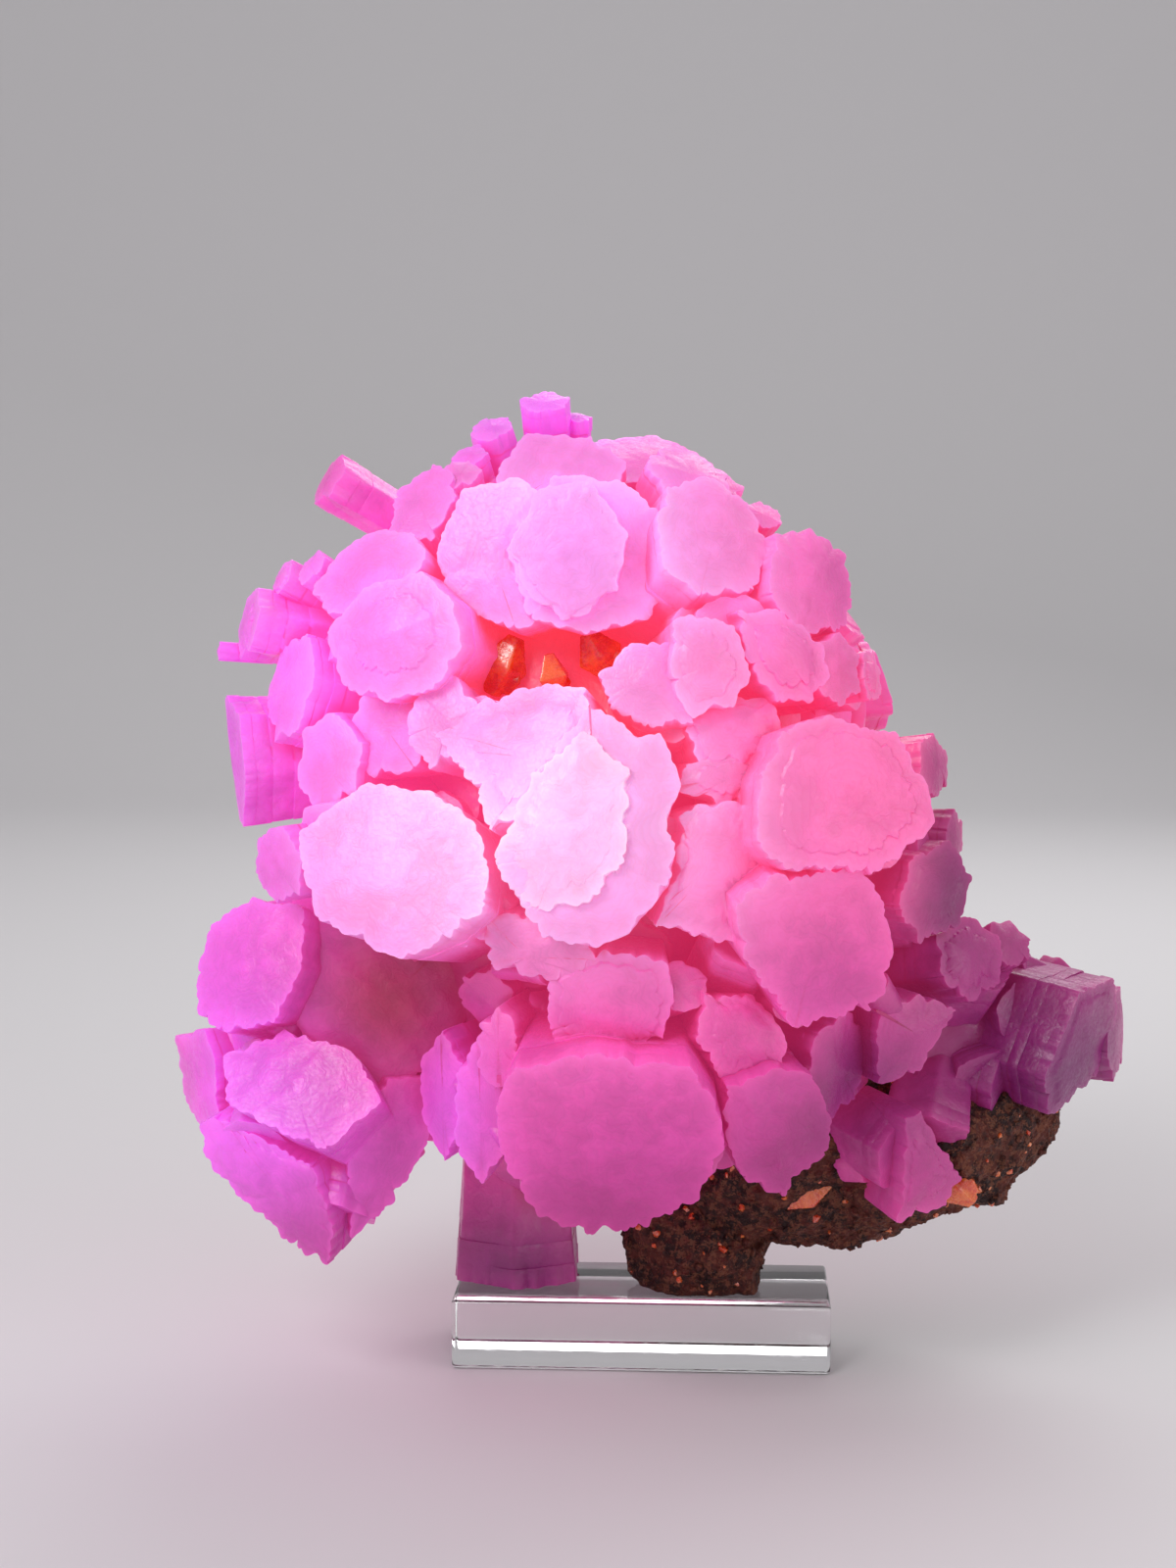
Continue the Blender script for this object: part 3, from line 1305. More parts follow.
@dataclass(frozen=True)
class Tier:
    """Crystals of one size that fill gaps.

    counts says how many are tried on each root lump, sizes how wide they are, and sink how far their tips
    stay below the crowd round them. least_proud is how far each stands out from its root at the least.
    """

    counts: tuple[int, ...]
    sizes: tuple[float, float]
    sink: tuple[float, float]
    length: float
    tilt: float
    flattest: float = 0.75
    least_proud: tuple[float, float] = (1.0, 4.0)

    def prisms(self, chance: random.Random, crowding: Crowding) -> list[Prism]:
        """Spreads crystals over the root lumps, out to where the large crystals still crowd.

        Args:
            chance: The random numbers, which all the tiers share.
            crowding: How much of the large crystals lies where.

        Returns:
            The crystals that are clear of the block, the cavity and the space under the left wing.
        """
        found = []
        for (centre, half), count in zip(ROOTS, self.counts):
            height = 1.0 - 2.0 * (np.arange(count) + 0.5) / count
            reach = np.sqrt(1.0 - height * height)
            turn = chance.uniform(0.0, math.tau) + np.arange(count) * SPIRAL_TURN
            out = np.column_stack([reach * np.cos(turn), reach * np.sin(turn), height])
            roots = np.array(centre) + out * half
            normals = out / half
            normals /= np.linalg.norm(normals, axis=1, keepdims=True)
            for root, normal, far in zip(roots, normals, crowding.surface(roots, normals)):
                size = chance.uniform(*self.sizes)
                proud = max(far - chance.uniform(*self.sink), chance.uniform(*self.least_proud))
                yaw = math.degrees(math.atan2(normal[0], -normal[1])) + chance.uniform(-self.tilt, self.tilt)
                pitch = math.degrees(math.asin(normal[2])) + chance.uniform(-self.tilt, self.tilt)
                height_share = chance.uniform(self.flattest, 1.0)
                outline = hexagon(size, size * height_share, chance.uniform(0.0, SIXTH_TURN))
                tip = Vector(root + normal * proud)
                if self.has_room(tip, size):
                    found.append(Prism(tuple(tip), yaw, min(pitch, STEEPEST), outline, self.length))
        return found

    @staticmethod
    def has_room(tip: Vector, size: float) -> bool:
        """Whether a small crystal may stand here, clear of the block and of the open spaces.

        Args:
            tip: The middle of its end face.
            size: Its width.

        Returns:
            True if it may.
        """
        near_cavity = (tip - Vector(CAVITY_CENTRE)).length < CAVITY_ROOM - CAVITY_MARGIN
        under_wing = UNDER_WING_SIDES[0] < tip.x < UNDER_WING_SIDES[1] and tip.z < UNDER_WING_TOP
        return tip.z > REST_HEIGHT + 0.6 * size + 1.0 and not near_cavity and not under_wing


# Small crystals are pushed in by this much at a time, up to so many times
PUSH = 2.0
PUSHES = 9

# A face is covered where a rim lies further within it than this, and so far above or below it
COVER_WITHIN = 0.6
COVER_BELOW = 0.8
COVER_ABOVE = 24.0

# A small crystal's rim is tried a little inside its corners, and a little in front of its face
RIM_SHARE = 0.9
RIM_AHEAD = 0.4


def covers_and_hides(points: np.ndarray, others: list[Prism]) -> tuple[np.ndarray, np.ndarray]:
    """Which of the small crystals' points cover a face, and which are hidden.

    Args:
        points: The points, by crystal and by point of its rim.
        others: The crystals whose faces stay clear.

    Returns:
        Which crystals cover a face with any point, and which have every point hidden inside another.
    """
    flat = points.reshape(-1, 3)
    covers = np.zeros(len(flat), bool)
    hidden = np.zeros(len(flat), bool)
    for other in others:
        depth, within = place_in(other, flat)
        covers |= (within > COVER_WITHIN) & (depth < COVER_BELOW) & (depth > -COVER_ABOVE)
        hidden |= (within > 0.0) & (depth > 0.0) & (depth < other.length)
    return covers.reshape(len(points), -1).any(axis=1), hidden.reshape(len(points), -1).all(axis=1)


def pushed_in(prisms: list[Prism], others: list[Prism]) -> list[Prism]:
    """Pushes small crystals in until they cover no other crystal's end face.

    Args:
        prisms: The small crystals.
        others: The crystals whose faces stay clear.

    Returns:
        The small crystals that still show.
    """
    turns = [facing(prism.yaw, prism.pitch) for prism in prisms]
    tips = np.array([prism.tip for prism in prisms])
    outward = np.array([turn[:, 2] for turn in turns])
    rims = np.array([
        [turn @ (*(RIM_SHARE * np.array(corner)), RIM_AHEAD) for corner in (*prism.outline, (0.0, 0.0))]
        for turn, prism in zip(turns, prisms)
    ])
    for _ in range(PUSHES):
        covers, _ = covers_and_hides(tips[:, None, :] + rims, others)
        tips = tips - outward * PUSH * covers[:, None]
    covers, hidden = covers_and_hides(tips[:, None, :] + rims, others)
    return [
        replace(prism, tip=tuple(tip))
        for prism, tip, left_out in zip(prisms, tips, covers | hidden)
        if not left_out
    ]


@dataclass(frozen=True)
class RootMass:
    """The grown-together roots and the smaller crystals that fill the gaps over them.

    The lumps have core_share of the roots' sizes, and swell by unevenness at the most, in waves set by bumps.
    """

    seed: int = 14
    core_share: float = 0.96
    unevenness: float = 0.06
    bumps: float = 4.0
    tiers: tuple[Tier, ...] = (
        Tier((190, 50, 44, 44), (15.0, 23.0), (2.5, 6.5), 28.0, 18.0),
        Tier((300, 110, 70, 70), (9.0, 14.0), (4.0, 9.0), 20.0, 24.0),
        Tier((300, 150, 80, 80), (5.0, 8.5), (7.0, 14.0), 14.0, 28.0),
    )

    def fillers(self, large: tuple[Prism, ...]) -> tuple[tuple[Prism, ...], ...]:
        """The smaller crystals of each size that show between the large ones.

        Args:
            large: The large crystals.

        Returns:
            One group for each tier.
        """
        chance = random.Random(self.seed)
        crowding = Crowding(large, ROOTS)
        kept = list(large)
        found = []
        for tier in self.tiers:
            added = pushed_in(tier.prisms(chance, crowding), kept)
            kept += added
            found.append(tuple(added))
        LOG.info("crystals that fill gaps: %s", [len(group) for group in found])
        return tuple(found)

    def lumps(self) -> tuple[Shell, ...]:
        """The root lumps, uneven, and flat where they stand on the block.

        Returns:
            Their skins.
        """
        shells = []
        for centre, half in ROOTS:
            shape = bmesh.new()
            bmesh.ops.create_icosphere(shape, subdivisions=5, radius=1.0)
            swell = [1.0 + self.unevenness * noise.noise(vert.co * self.bumps) for vert in shape.verts]
            points = np.array([vert.co * size for vert, size in zip(shape.verts, swell)])
            triangles = np.array([[vert.index for vert in face.verts] for face in shape.faces])
            shape.free()
            points = points * np.array(half) * self.core_share + np.array(centre)
            points[:, 2] = np.maximum(points[:, 2], REST_HEIGHT)
            marks = np.tile((0.0, 0.0, 1.0, 0.5), (len(points), 1))
            shells.append(Shell(points, triangles, marks))
        return tuple(shells)

    def build(self, small: tuple[Prism, ...]) -> bpy.types.Object:
        """Joins the roots and the smallest crystals, and colours them.

        Args:
            small: The smallest crystals.

        Returns:
            The piece.
        """
        return Spray("root_mass", small, self.seed, SMALL).build(self.lumps())


def with_noise(points: np.ndarray, grain: float, depth: float) -> np.ndarray:
    """How far each point is pushed by uneven noise, of this grain and depth in millimetres."""
    return np.array([noise.noise(Vector(point) / grain) for point in points]) * depth


@dataclass(frozen=True)
class MatrixRock:
    """The dark granular rock at the lower right: a tilted lump and the foot that it stands on."""

    name: str = "matrix_rock"
    centre: Point = (44.0, 3.0, 46.0)
    half: Point = (41.0, 27.0, 22.0)
    tilt: float = -12.0
    foot_centre: Point = (11.0, 0.0, 25.0)
    foot_half: Point = (15.0, 14.0, 17.0)
    roughness: float = 3.0
    grain: float = 14.0
    finer_grain: float = 6.0
    finer_share: float = 0.5
    pits: tuple[tuple[float, float], ...] = ((3.4, 1.1), (1.7, 0.75), (0.9, 0.4))
    pit_shift: float = 7.0
    grains: int = 1500
    grain_sizes: tuple[float, float] = (0.45, 1.5)
    sulfur_grains: int = 240
    sulfur_sizes: tuple[float, float] = (0.5, 1.3)
    grain_shape: tuple[float, float] = (0.6, 1.2)
    grain_wear: float = 0.16
    sunk: float = 0.25
    seed: int = 21

    def lump(self, centre: Point, half: Point, tilt: float, subdivisions: int) -> Shell:
        """One rough lump, pitted inward from its broad shape, and flat where it stands on the block.

        Args:
            centre: Its middle.
            half: Its half sizes.
            tilt: Its tilt, in degrees.
            subdivisions: How finely it is cut.

        Returns:
            Its skin.
        """
        shape = bmesh.new()
        turn = Matrix.Rotation(math.radians(tilt), 4, "Y")
        size = Matrix.Diagonal((*(length * MM for length in half), 1.0))
        matrix = Matrix.Translation(Vector(centre) * MM) @ turn @ size
        bmesh.ops.create_icosphere(shape, subdivisions=subdivisions, radius=1.0, matrix=matrix)
        for vert in shape.verts:
            push = noise.noise_vector(vert.co / (self.grain * MM))
            push += self.finer_share * noise.noise_vector(vert.co / (self.finer_grain * MM))
            vert.co += push * self.roughness * MM
        shape.normal_update()
        points = np.array([vert.co for vert in shape.verts]) / MM
        outward = np.array([vert.normal for vert in shape.verts])
        triangles = np.array([[vert.index for vert in face.verts] for face in shape.faces])
        shape.free()
        pitted = np.zeros(len(points))
        for grain, depth in self.pits:
            pitted += np.abs(with_noise(points + grain * self.pit_shift, grain, depth))
        points -= outward * pitted[:, None]
        points[:, 2] = np.maximum(points[:, 2], REST_HEIGHT)
        return Shell(points, triangles)

    def scatter(
        self,
        name: str,
        rock: bpy.types.Object,
        count: int,
        sizes: tuple[float, float],
    ) -> bpy.types.Object:
        """Sets small angular grains on the rock, as one mesh of closed grains.

        Args:
            name: The new piece's name.
            rock: The rock that they sit on.
            count: How many grains.
            sizes: Their least and greatest half size.

        Returns:
            The piece.
        """
        chance = np.random.default_rng(self.seed + count)
        points, outward = points_of(rock.data) / MM, normals_of(rock.data)
        above = np.flatnonzero(points[:, 2] > REST_HEIGHT + 1.0)
        shape = bmesh.new()
        for vertex in chance.choice(above, count, replace=False):
            size = chance.uniform(*sizes) * chance.uniform(0.6, 1.0)
            stretch = Matrix.Diagonal((*chance.uniform(*self.grain_shape, 3) * size * MM, 1.0))
            spin = chance.uniform(0.0, math.tau)
            turn = Matrix.Rotation(spin, 4, Vector(chance.normal(size=3)).normalized())
            spot = Vector((points[vertex] - outward[vertex] * self.sunk * size) * MM)
            matrix = Matrix.Translation(spot) @ turn @ stretch
            made = bmesh.ops.create_icosphere(shape, subdivisions=1, radius=1.0, matrix=matrix)
            for vert in made["verts"]:
                vert.co += Vector(chance.uniform(-self.grain_wear, self.grain_wear, 3)) * size * MM
                vert.co.z = max(vert.co.z, REST_HEIGHT * MM)
        mesh = bpy.data.meshes.new(name)
        shape.to_mesh(mesh)
        shape.free()
        return place(name, mesh)

    def build(self) -> tuple[bpy.types.Object, ...]:
        """Makes the rock, its own grains and its sulfur grains.

        Returns:
            The three pieces.
        """
        # Unless it is seeded, noise_vector takes its offsets from the clock
        noise.seed_set(self.seed)
        lumps = [
            self.lump(self.centre, self.half, self.tilt, 7),
            self.lump(self.foot_centre, self.foot_half, 0.0, 6),
        ]
        rock = grown_together(self.name, lumps)
        grains = self.scatter("matrix_grains", rock, self.grains, self.grain_sizes)
        amber = self.scatter("sulfur_grains", rock, self.sulfur_grains, self.sulfur_sizes)
        return rock, grains, amber


@dataclass(frozen=True)
class SulfurCrystal:
    """One blocky amber crystal: a bipyramid with its points cut off, stepped and worn at its edges."""

    node: str
    name: str
    middle: Point
    half_width: float
    half_height: float
    lean: float
    turn: float
    flatness: float = 0.8
    cut_height: float = 0.9
    cut_width: float = 0.35
    waist: float = 0.985
    growth_steps: tuple[float, ...] = (0.3, 0.52, 0.74)
    ring_points: int = 48
    neighbour_size: float = 0.52
    neighbour_shift: Point = (0.42, -0.3, -0.28)
    neighbour_turn: float = 38.0
    wear_grain: float = 2.4
    wear_depth: float = 0.12

    def profile(self) -> tuple[tuple[float, float], ...]:
        """Width and height from waist to cut point, with growth steps, as shares of the half sizes.

        Returns:
            The corners of the profile.
        """
        found = [(self.waist, 0.0), (self.waist, 0.035)]
        for share in self.growth_steps:
            wide = 1.0 - (1.0 - self.cut_width) * share
            found += [(wide, self.cut_height * share), (wide - 0.035, self.cut_height * (share + 0.012))]
        return (*found, (self.cut_width, self.cut_height - 0.02), (self.cut_width - 0.08, self.cut_height))

    def shell(self, size: float, shift: Point, spin: float) -> Shell:
        """One bipyramid.

        Args:
            size: Its size, as a share of the crystal's.
            shift: How far its middle is moved, as shares of the half sizes.
            spin: How far it is turned further about its own axis, in degrees.

        Returns:
            Its closed skin, in millimetres in the frame.
        """
        waist = np.array(((1.0, 0.0), (0.0, self.flatness), (-1.0, 0.0), (0.0, -self.flatness)))
        ring = eased(evenly_round(waist, self.ring_points), 1)
        steps = self.profile()
        rings = []
        for wide, high in (*((wide, -high) for wide, high in reversed(steps[1:])), *steps):
            level = np.full(len(ring), high * self.half_height)
            rings.append(np.column_stack([ring * wide * self.half_width, level]))
        end = self.cut_height * self.half_height
        local, triangles = stacked(rings, (0.0, 0.0, -end), (0.0, 0.0, end))
        turn = Matrix.Rotation(math.radians(self.lean), 3, "Y")
        turn @= Matrix.Rotation(math.radians(self.turn + spin), 3, "Z")
        offset = np.array(shift) * (self.half_width, self.half_width, self.half_height)
        points = (local * size + offset) @ np.array(turn).T + np.array(self.middle)
        points += with_noise(points, self.wear_grain, self.wear_depth)[:, None]
        return Shell(points, triangles)

    def build(self) -> bpy.types.Object:
        """Makes the crystal with its small neighbour grown into its side.

        Returns:
            The piece.
        """
        whole = self.shell(1.0, (0.0, 0.0, 0.0), 0.0)
        neighbour = self.shell(self.neighbour_size, self.neighbour_shift, self.neighbour_turn)
        return grown_together(self.name, [whole, neighbour])


SULFUR = (
    SulfurCrystal("sulfur_cavity_left", "cavity_sulfur_left", (-25, -36, 143), 5.0, 6.5, 24.0, 20.0),
    SulfurCrystal("sulfur_cavity_middle", "cavity_sulfur_middle", (-15.5, -38, 141), 4.0, 5.0, -12.0, 50.0),
    SulfurCrystal("sulfur_cavity_right", "cavity_sulfur_right", (-7, -37, 145), 4.5, 5.5, -30.0, 5.0),
    SulfurCrystal("sulfur_matrix_front", "rock_sulfur_front", (33, -18, 38), 4.5, 5.5, 62.0, 35.0),
    SulfurCrystal("sulfur_matrix_low", "rock_sulfur_low", (62, -18.5, 40), 4.0, 5.0, -48.0, 10.0),
    SulfurCrystal("sulfur_matrix_side", "rock_sulfur_side", (80, 4, 46), 4.5, 5.5, 50.0, -35.0),
    SulfurCrystal("sulfur_matrix_back", "rock_sulfur_back", (56, 26, 42), 6.0, 7.0, -35.0, 25.0),
)


@dataclass(frozen=True)
class AcrylicBlock:
    """The clear polished block that the specimen rests on."""

    name: str = "acrylic_block"
    width: float = 76.0
    depth: float = 28.0
    height: float = 14.0
    edge: float = 0.8
    edge_steps: int = 4

    def build(self) -> bpy.types.Object:
        """Makes the block with its edges eased.

        Returns:
            The block.
        """
        shape = bmesh.new()
        middle = Matrix.Translation((0.0, 0.0, 0.5 * self.height * MM))
        size = Matrix.Diagonal((self.width * MM, self.depth * MM, self.height * MM, 1.0))
        bmesh.ops.create_cube(shape, size=1.0, matrix=middle @ size)
        bmesh.ops.bevel(
            shape,
            geom=shape.edges[:],
            offset=self.edge * MM,
            segments=self.edge_steps,
            profile=0.5,
            affect="EDGES",
        )
        mesh = bpy.data.meshes.new(self.name)
        shape.to_mesh(mesh)
        shape.free()
        return place(self.name, mesh)


class Graph:
    """A node tree that is filled by plain calls."""

    def __init__(self, tree: bpy.types.NodeTree) -> None:
        """Takes the tree."""
        self.tree = tree

    def add(self, kind: str, **settings: object) -> bpy.types.Node:
        """A new node of this kind with these settings.

        Args:
            kind: The node's kind.
            settings: Its settings by name.

        Returns:
            The node.
        """
        node = self.tree.nodes.new(kind)
        for name, value in settings.items():
            setattr(node, name, value)
        return node

    def feed(self, value: object, socket: bpy.types.NodeSocket) -> None:
        """Sets a socket's own value, or links another socket to it.

        Args:
            value: A value, a socket, or None to leave the socket as it is.
            socket: The socket.
        """
        if isinstance(value, bpy.types.NodeSocket):
            self.tree.links.new(value, socket)
        elif value is not None:
            socket.default_value = value

    def math(self, operation: str, first: object, second: object = None) -> bpy.types.NodeSocket:
        """The result of one sum on one or two values.

        Args:
            operation: The kind of sum.
            first: The first value or socket.
            second: The second, if it takes one.

        Returns:
            The result's socket.
        """
        node = self.add("ShaderNodeMath", operation=operation)
        self.feed(first, node.inputs[0])
        self.feed(second, node.inputs[1])
        return node.outputs[0]

    def spread(
        self,
        value: object,
        low: float,
        high: float,
        bottom: float = 0.0,
        top: float = 1.0,
    ) -> bpy.types.NodeSocket:
        """A value moved smoothly from one range to another.

        Args:
            value: The value or socket.
            low: Where the first range starts.
            high: Where it ends.
            bottom: Where the second range starts.
            top: Where it ends.

        Returns:
            The result's socket.
        """
        node = self.add("ShaderNodeMapRange", interpolation_type="SMOOTHSTEP")
        for given, socket in zip((value, low, high, bottom, top), node.inputs):
            self.feed(given, socket)
        return node.outputs[0]

    def mix(self, share: object, first: object, second: object, blend: str = "MIX") -> bpy.types.NodeSocket:
        """One colour mixed into another.

        Args:
            share: How much of the second.
            first: The first colour.
            second: The second colour.
            blend: How they mix.

        Returns:
            The mixed colour's socket.
        """
        node = self.add("ShaderNodeMix", data_type="RGBA", blend_type=blend)
        for given, socket in zip((share, first, second), (node.inputs[0], node.inputs[6], node.inputs[7])):
            self.feed(given, socket)
        return node.outputs[2]

    def grey(self, brightness: bpy.types.NodeSocket) -> bpy.types.NodeSocket:
        """A grey of this brightness.

        Args:
            brightness: The brightness's socket.

        Returns:
            The grey's socket.
        """
        node = self.add("ShaderNodeCombineColor")
        for socket in node.inputs:
            self.feed(brightness, socket)
        return node.outputs[0]

    def stored(self, name: str, output: str = "Fac") -> bpy.types.NodeSocket:
        """What a mesh stores at its points under this name."""
        return self.add("ShaderNodeAttribute", attribute_name=name).outputs[output]

    def place_on(self, size: object) -> bpy.types.NodeSocket:
        """The place on the piece, counted in features of this size in millimetres.

        Args:
            size: The size of a feature.

        Returns:
            The place's socket.
        """
        scaled = self.add("ShaderNodeVectorMath", operation="SCALE")
        self.feed(self.add("ShaderNodeTexCoord").outputs["Object"], scaled.inputs[0])
        self.feed(self.math("DIVIDE", 1.0 / MM, size), scaled.inputs["Scale"])
        return scaled.outputs[0]

    def soft_noise(self, size: object, detail: float) -> bpy.types.NodeSocket:
        """Soft patches of this size in millimetres, with finer ones in them for each step of detail.

        Args:
            size: The size of a patch.
            detail: The steps of detail.

        Returns:
            The noise's socket.
        """
        node = self.add("ShaderNodeTexNoise")
        self.feed(self.place_on(size), node.inputs["Vector"])
        self.feed(1.0, node.inputs["Scale"])
        self.feed(detail, node.inputs["Detail"])
        return node.outputs[0]

    def group(self, tree: bpy.types.NodeTree, **values: object) -> bpy.types.Node:
        """Places a node group with these values.

        Args:
            tree: The group.
            values: Its inputs by name, with an underline for a space.

        Returns:
            The group's node.
        """
        node = self.add("ShaderNodeGroup", node_tree=tree)
        for name, value in values.items():
            self.feed(value, node.inputs[name.replace("_", " ")])
        return node


def new_group(
    name: str,
    takes: dict[str, object],
    gives: dict[str, str],
) -> tuple[Graph, bpy.types.NodeOutputs, bpy.types.NodeInputs]:
    """Starts a node group.

    Args:
        name: The group's name.
        takes: Each input's name and its usual value, a number or a colour.
        gives: Each output's name and its kind of socket.

    Returns:
        The group's graph, the sockets that give its inputs, and the sockets that take its outputs.
    """
    tree = bpy.data.node_groups.new(name, "ShaderNodeTree")
    for label, value in takes.items():
        kind = "NodeSocketFloat" if isinstance(value, float) else "NodeSocketColor"
        socket = tree.interface.new_socket(name=label, in_out="INPUT", socket_type=kind)
        socket.default_value = value
    for label, kind in gives.items():
        tree.interface.new_socket(name=label, in_out="OUTPUT", socket_type=kind)
    graph = Graph(tree)
    return graph, graph.add("NodeGroupInput").outputs, graph.add("NodeGroupOutput").inputs


def clouds_group() -> bpy.types.NodeTree:
    """Soft patches of two sizes, for milky growth, stained rock and clouded amber.

    Returns:
        The group.
    """
    takes = {"Size": 10.0, "Finer": 0.35, "Contrast": 1.0}
    graph, given, out = new_group("soft_clouds", takes, {"Mask": "NodeSocketFloat"})
    finer_size = graph.math("MULTIPLY", given["Size"], 0.27)
    broad = graph.soft_noise(given["Size"], 3.0)
    fine = graph.soft_noise(finer_size, 4.0)
    added = graph.math("MULTIPLY", graph.math("SUBTRACT", fine, 0.5), given["Finer"])
    both = graph.math("ADD", broad, added)
    centred = graph.math("MULTIPLY", graph.math("SUBTRACT", both, 0.5), given["Contrast"])
    graph.feed(graph.spread(graph.math("ADD", centred, 0.5), 0.3, 0.7), out["Mask"])
    return graph.tree


def skin_group() -> bpy.types.NodeTree:
    """The fine relief of a surface: grain, and pits between angular cells, as a height in metres.

    Returns:
        The group.
    """
    takes = {"Grain size": 0.5, "Grain depth": 0.03, "Cell size": 2.0, "Cell depth": 0.05}
    gives = {"Height": "NodeSocketFloat", "Wear": "NodeSocketFloat"}
    graph, given, out = new_group("fine_skin", takes, gives)
    grain = graph.soft_noise(given["Grain size"], 5.0)
    cells = graph.add("ShaderNodeTexVoronoi", feature="F1")
    graph.feed(graph.place_on(given["Cell size"]), cells.inputs["Vector"])
    graph.feed(1.0, cells.inputs["Scale"])
    fine = graph.math("MULTIPLY", graph.math("SUBTRACT", grain, 0.5), given["Grain depth"])
    coarse = graph.math("MULTIPLY", cells.outputs["Distance"], given["Cell depth"])
    graph.feed(graph.math("MULTIPLY", graph.math("SUBTRACT", fine, coarse), MM), out["Height"])
    graph.feed(graph.spread(grain, 0.35, 0.75), out["Wear"])
    return graph.tree


# Growth zones stand this high, in millimetres
ZONE_HEIGHT = 0.06


def growth_group() -> bpy.types.NodeTree:
    """How a crystal's hue changes from crevice to rim and from its rim to the middle of its end face.

    Returns:
        The group.
    """
    takes = {
        "Hue": (0.9, 0.4, 0.6, 1.0),
        "Deep hue": (0.9, 0.2, 0.15, 1.0),
        "Shelter": 0.0,
        "Rim": 0.0,
        "Contour": 0.0,
        "Depth": 0.0,
        "Clouds": 0.5,
        "Zones": 5.0,
        "Zone strength": 0.1,
        "Rim strength": 0.4,
    }
    gives = {"Colour": "NodeSocketColor", "Light": "NodeSocketColor", "Height": "NodeSocketFloat"}
    graph, given, out = new_group("growth_zones", takes, gives)
    wobble = graph.math("MULTIPLY", given["Clouds"], 0.35)
    wave = graph.math("MULTIPLY", graph.math("ADD", given["Contour"], wobble), given["Zones"])
    band = graph.spread(graph.math("FRACT", wave), 0.0, 0.85)
    zoned = graph.math("MULTIPLY", graph.math("SUBTRACT", band, 0.5), given["Zone strength"])
    milk = graph.math("MULTIPLY", graph.math("SUBTRACT", given["Clouds"], 0.5), 0.2)
    bright = graph.math("ADD", graph.math("ADD", zoned, milk), 1.0)
    toned = graph.mix(1.0, given["Hue"], graph.grey(bright), "MULTIPLY")
    closed_in = graph.math("ADD", given["Shelter"], graph.math("MULTIPLY", given["Depth"], 0.2))
    sunk = graph.mix(graph.spread(closed_in, 0.18, 0.85), toned, given["Deep hue"])
    open_rim = graph.math("MULTIPLY", given["Rim"], graph.spread(given["Shelter"], 0.75, 0.25))
    paler = graph.mix(1.0, given["Hue"], (1.5, 1.9, 1.5, 1.0), "MULTIPLY")
    paler.node.clamp_result = True
    edged = graph.mix(graph.math("MULTIPLY", open_rim, given["Rim strength"]), sunk, paler)
    lift = graph.spread(given["Shelter"], 0.1, 0.95, 1.0, 1.15)
    graph.feed(edged, out["Colour"])
    graph.feed(graph.mix(1.0, edged, graph.grey(lift), "MULTIPLY"), out["Light"])
    graph.feed(graph.math("MULTIPLY", band, ZONE_HEIGHT * MM), out["Height"])
    return graph.tree


@dataclass
class Groups:
    """The node groups that the finishes share."""

    clouds: bpy.types.NodeTree
    skin: bpy.types.NodeTree
    growth: bpy.types.NodeTree


def opaque(colour: Colour) -> tuple[float, ...]:
    """A colour as the eye sees it, as the linear value with full alpha that a socket takes."""
    return (*linear(colour), 1.0)


def new_material(name: str, values: dict[str, object]) -> tuple[bpy.types.Material, Graph, bpy.types.Node]:
    """A new material with these plain values on its shader.

    Args:
        name: The material's name.
        values: Each shader socket's name and its value.

    Returns:
        The material, its graph and its shader.
    """
    material = bpy.data.materials.new(name)
    material.use_nodes = True
    shader = material.node_tree.nodes["Principled BSDF"]
    for label, value in values.items():
        shader.inputs[label].default_value = value
    return material, Graph(material.node_tree), shader


def add_relief(graph: Graph, shader: bpy.types.Node, height: bpy.types.NodeSocket, strength: float) -> None:
    """Feeds a height in metres to the shader's normal.

    Args:
        graph: The material's graph.
        shader: Its shader.
        height: The height's socket.
        strength: How strongly it shows.
    """
    bump = graph.add("ShaderNodeBump")
    graph.feed(strength, bump.inputs["Strength"])
    graph.feed(1.0, bump.inputs["Distance"])
    graph.feed(height, bump.inputs["Height"])
    graph.feed(bump.outputs[0], shader.inputs["Normal"])


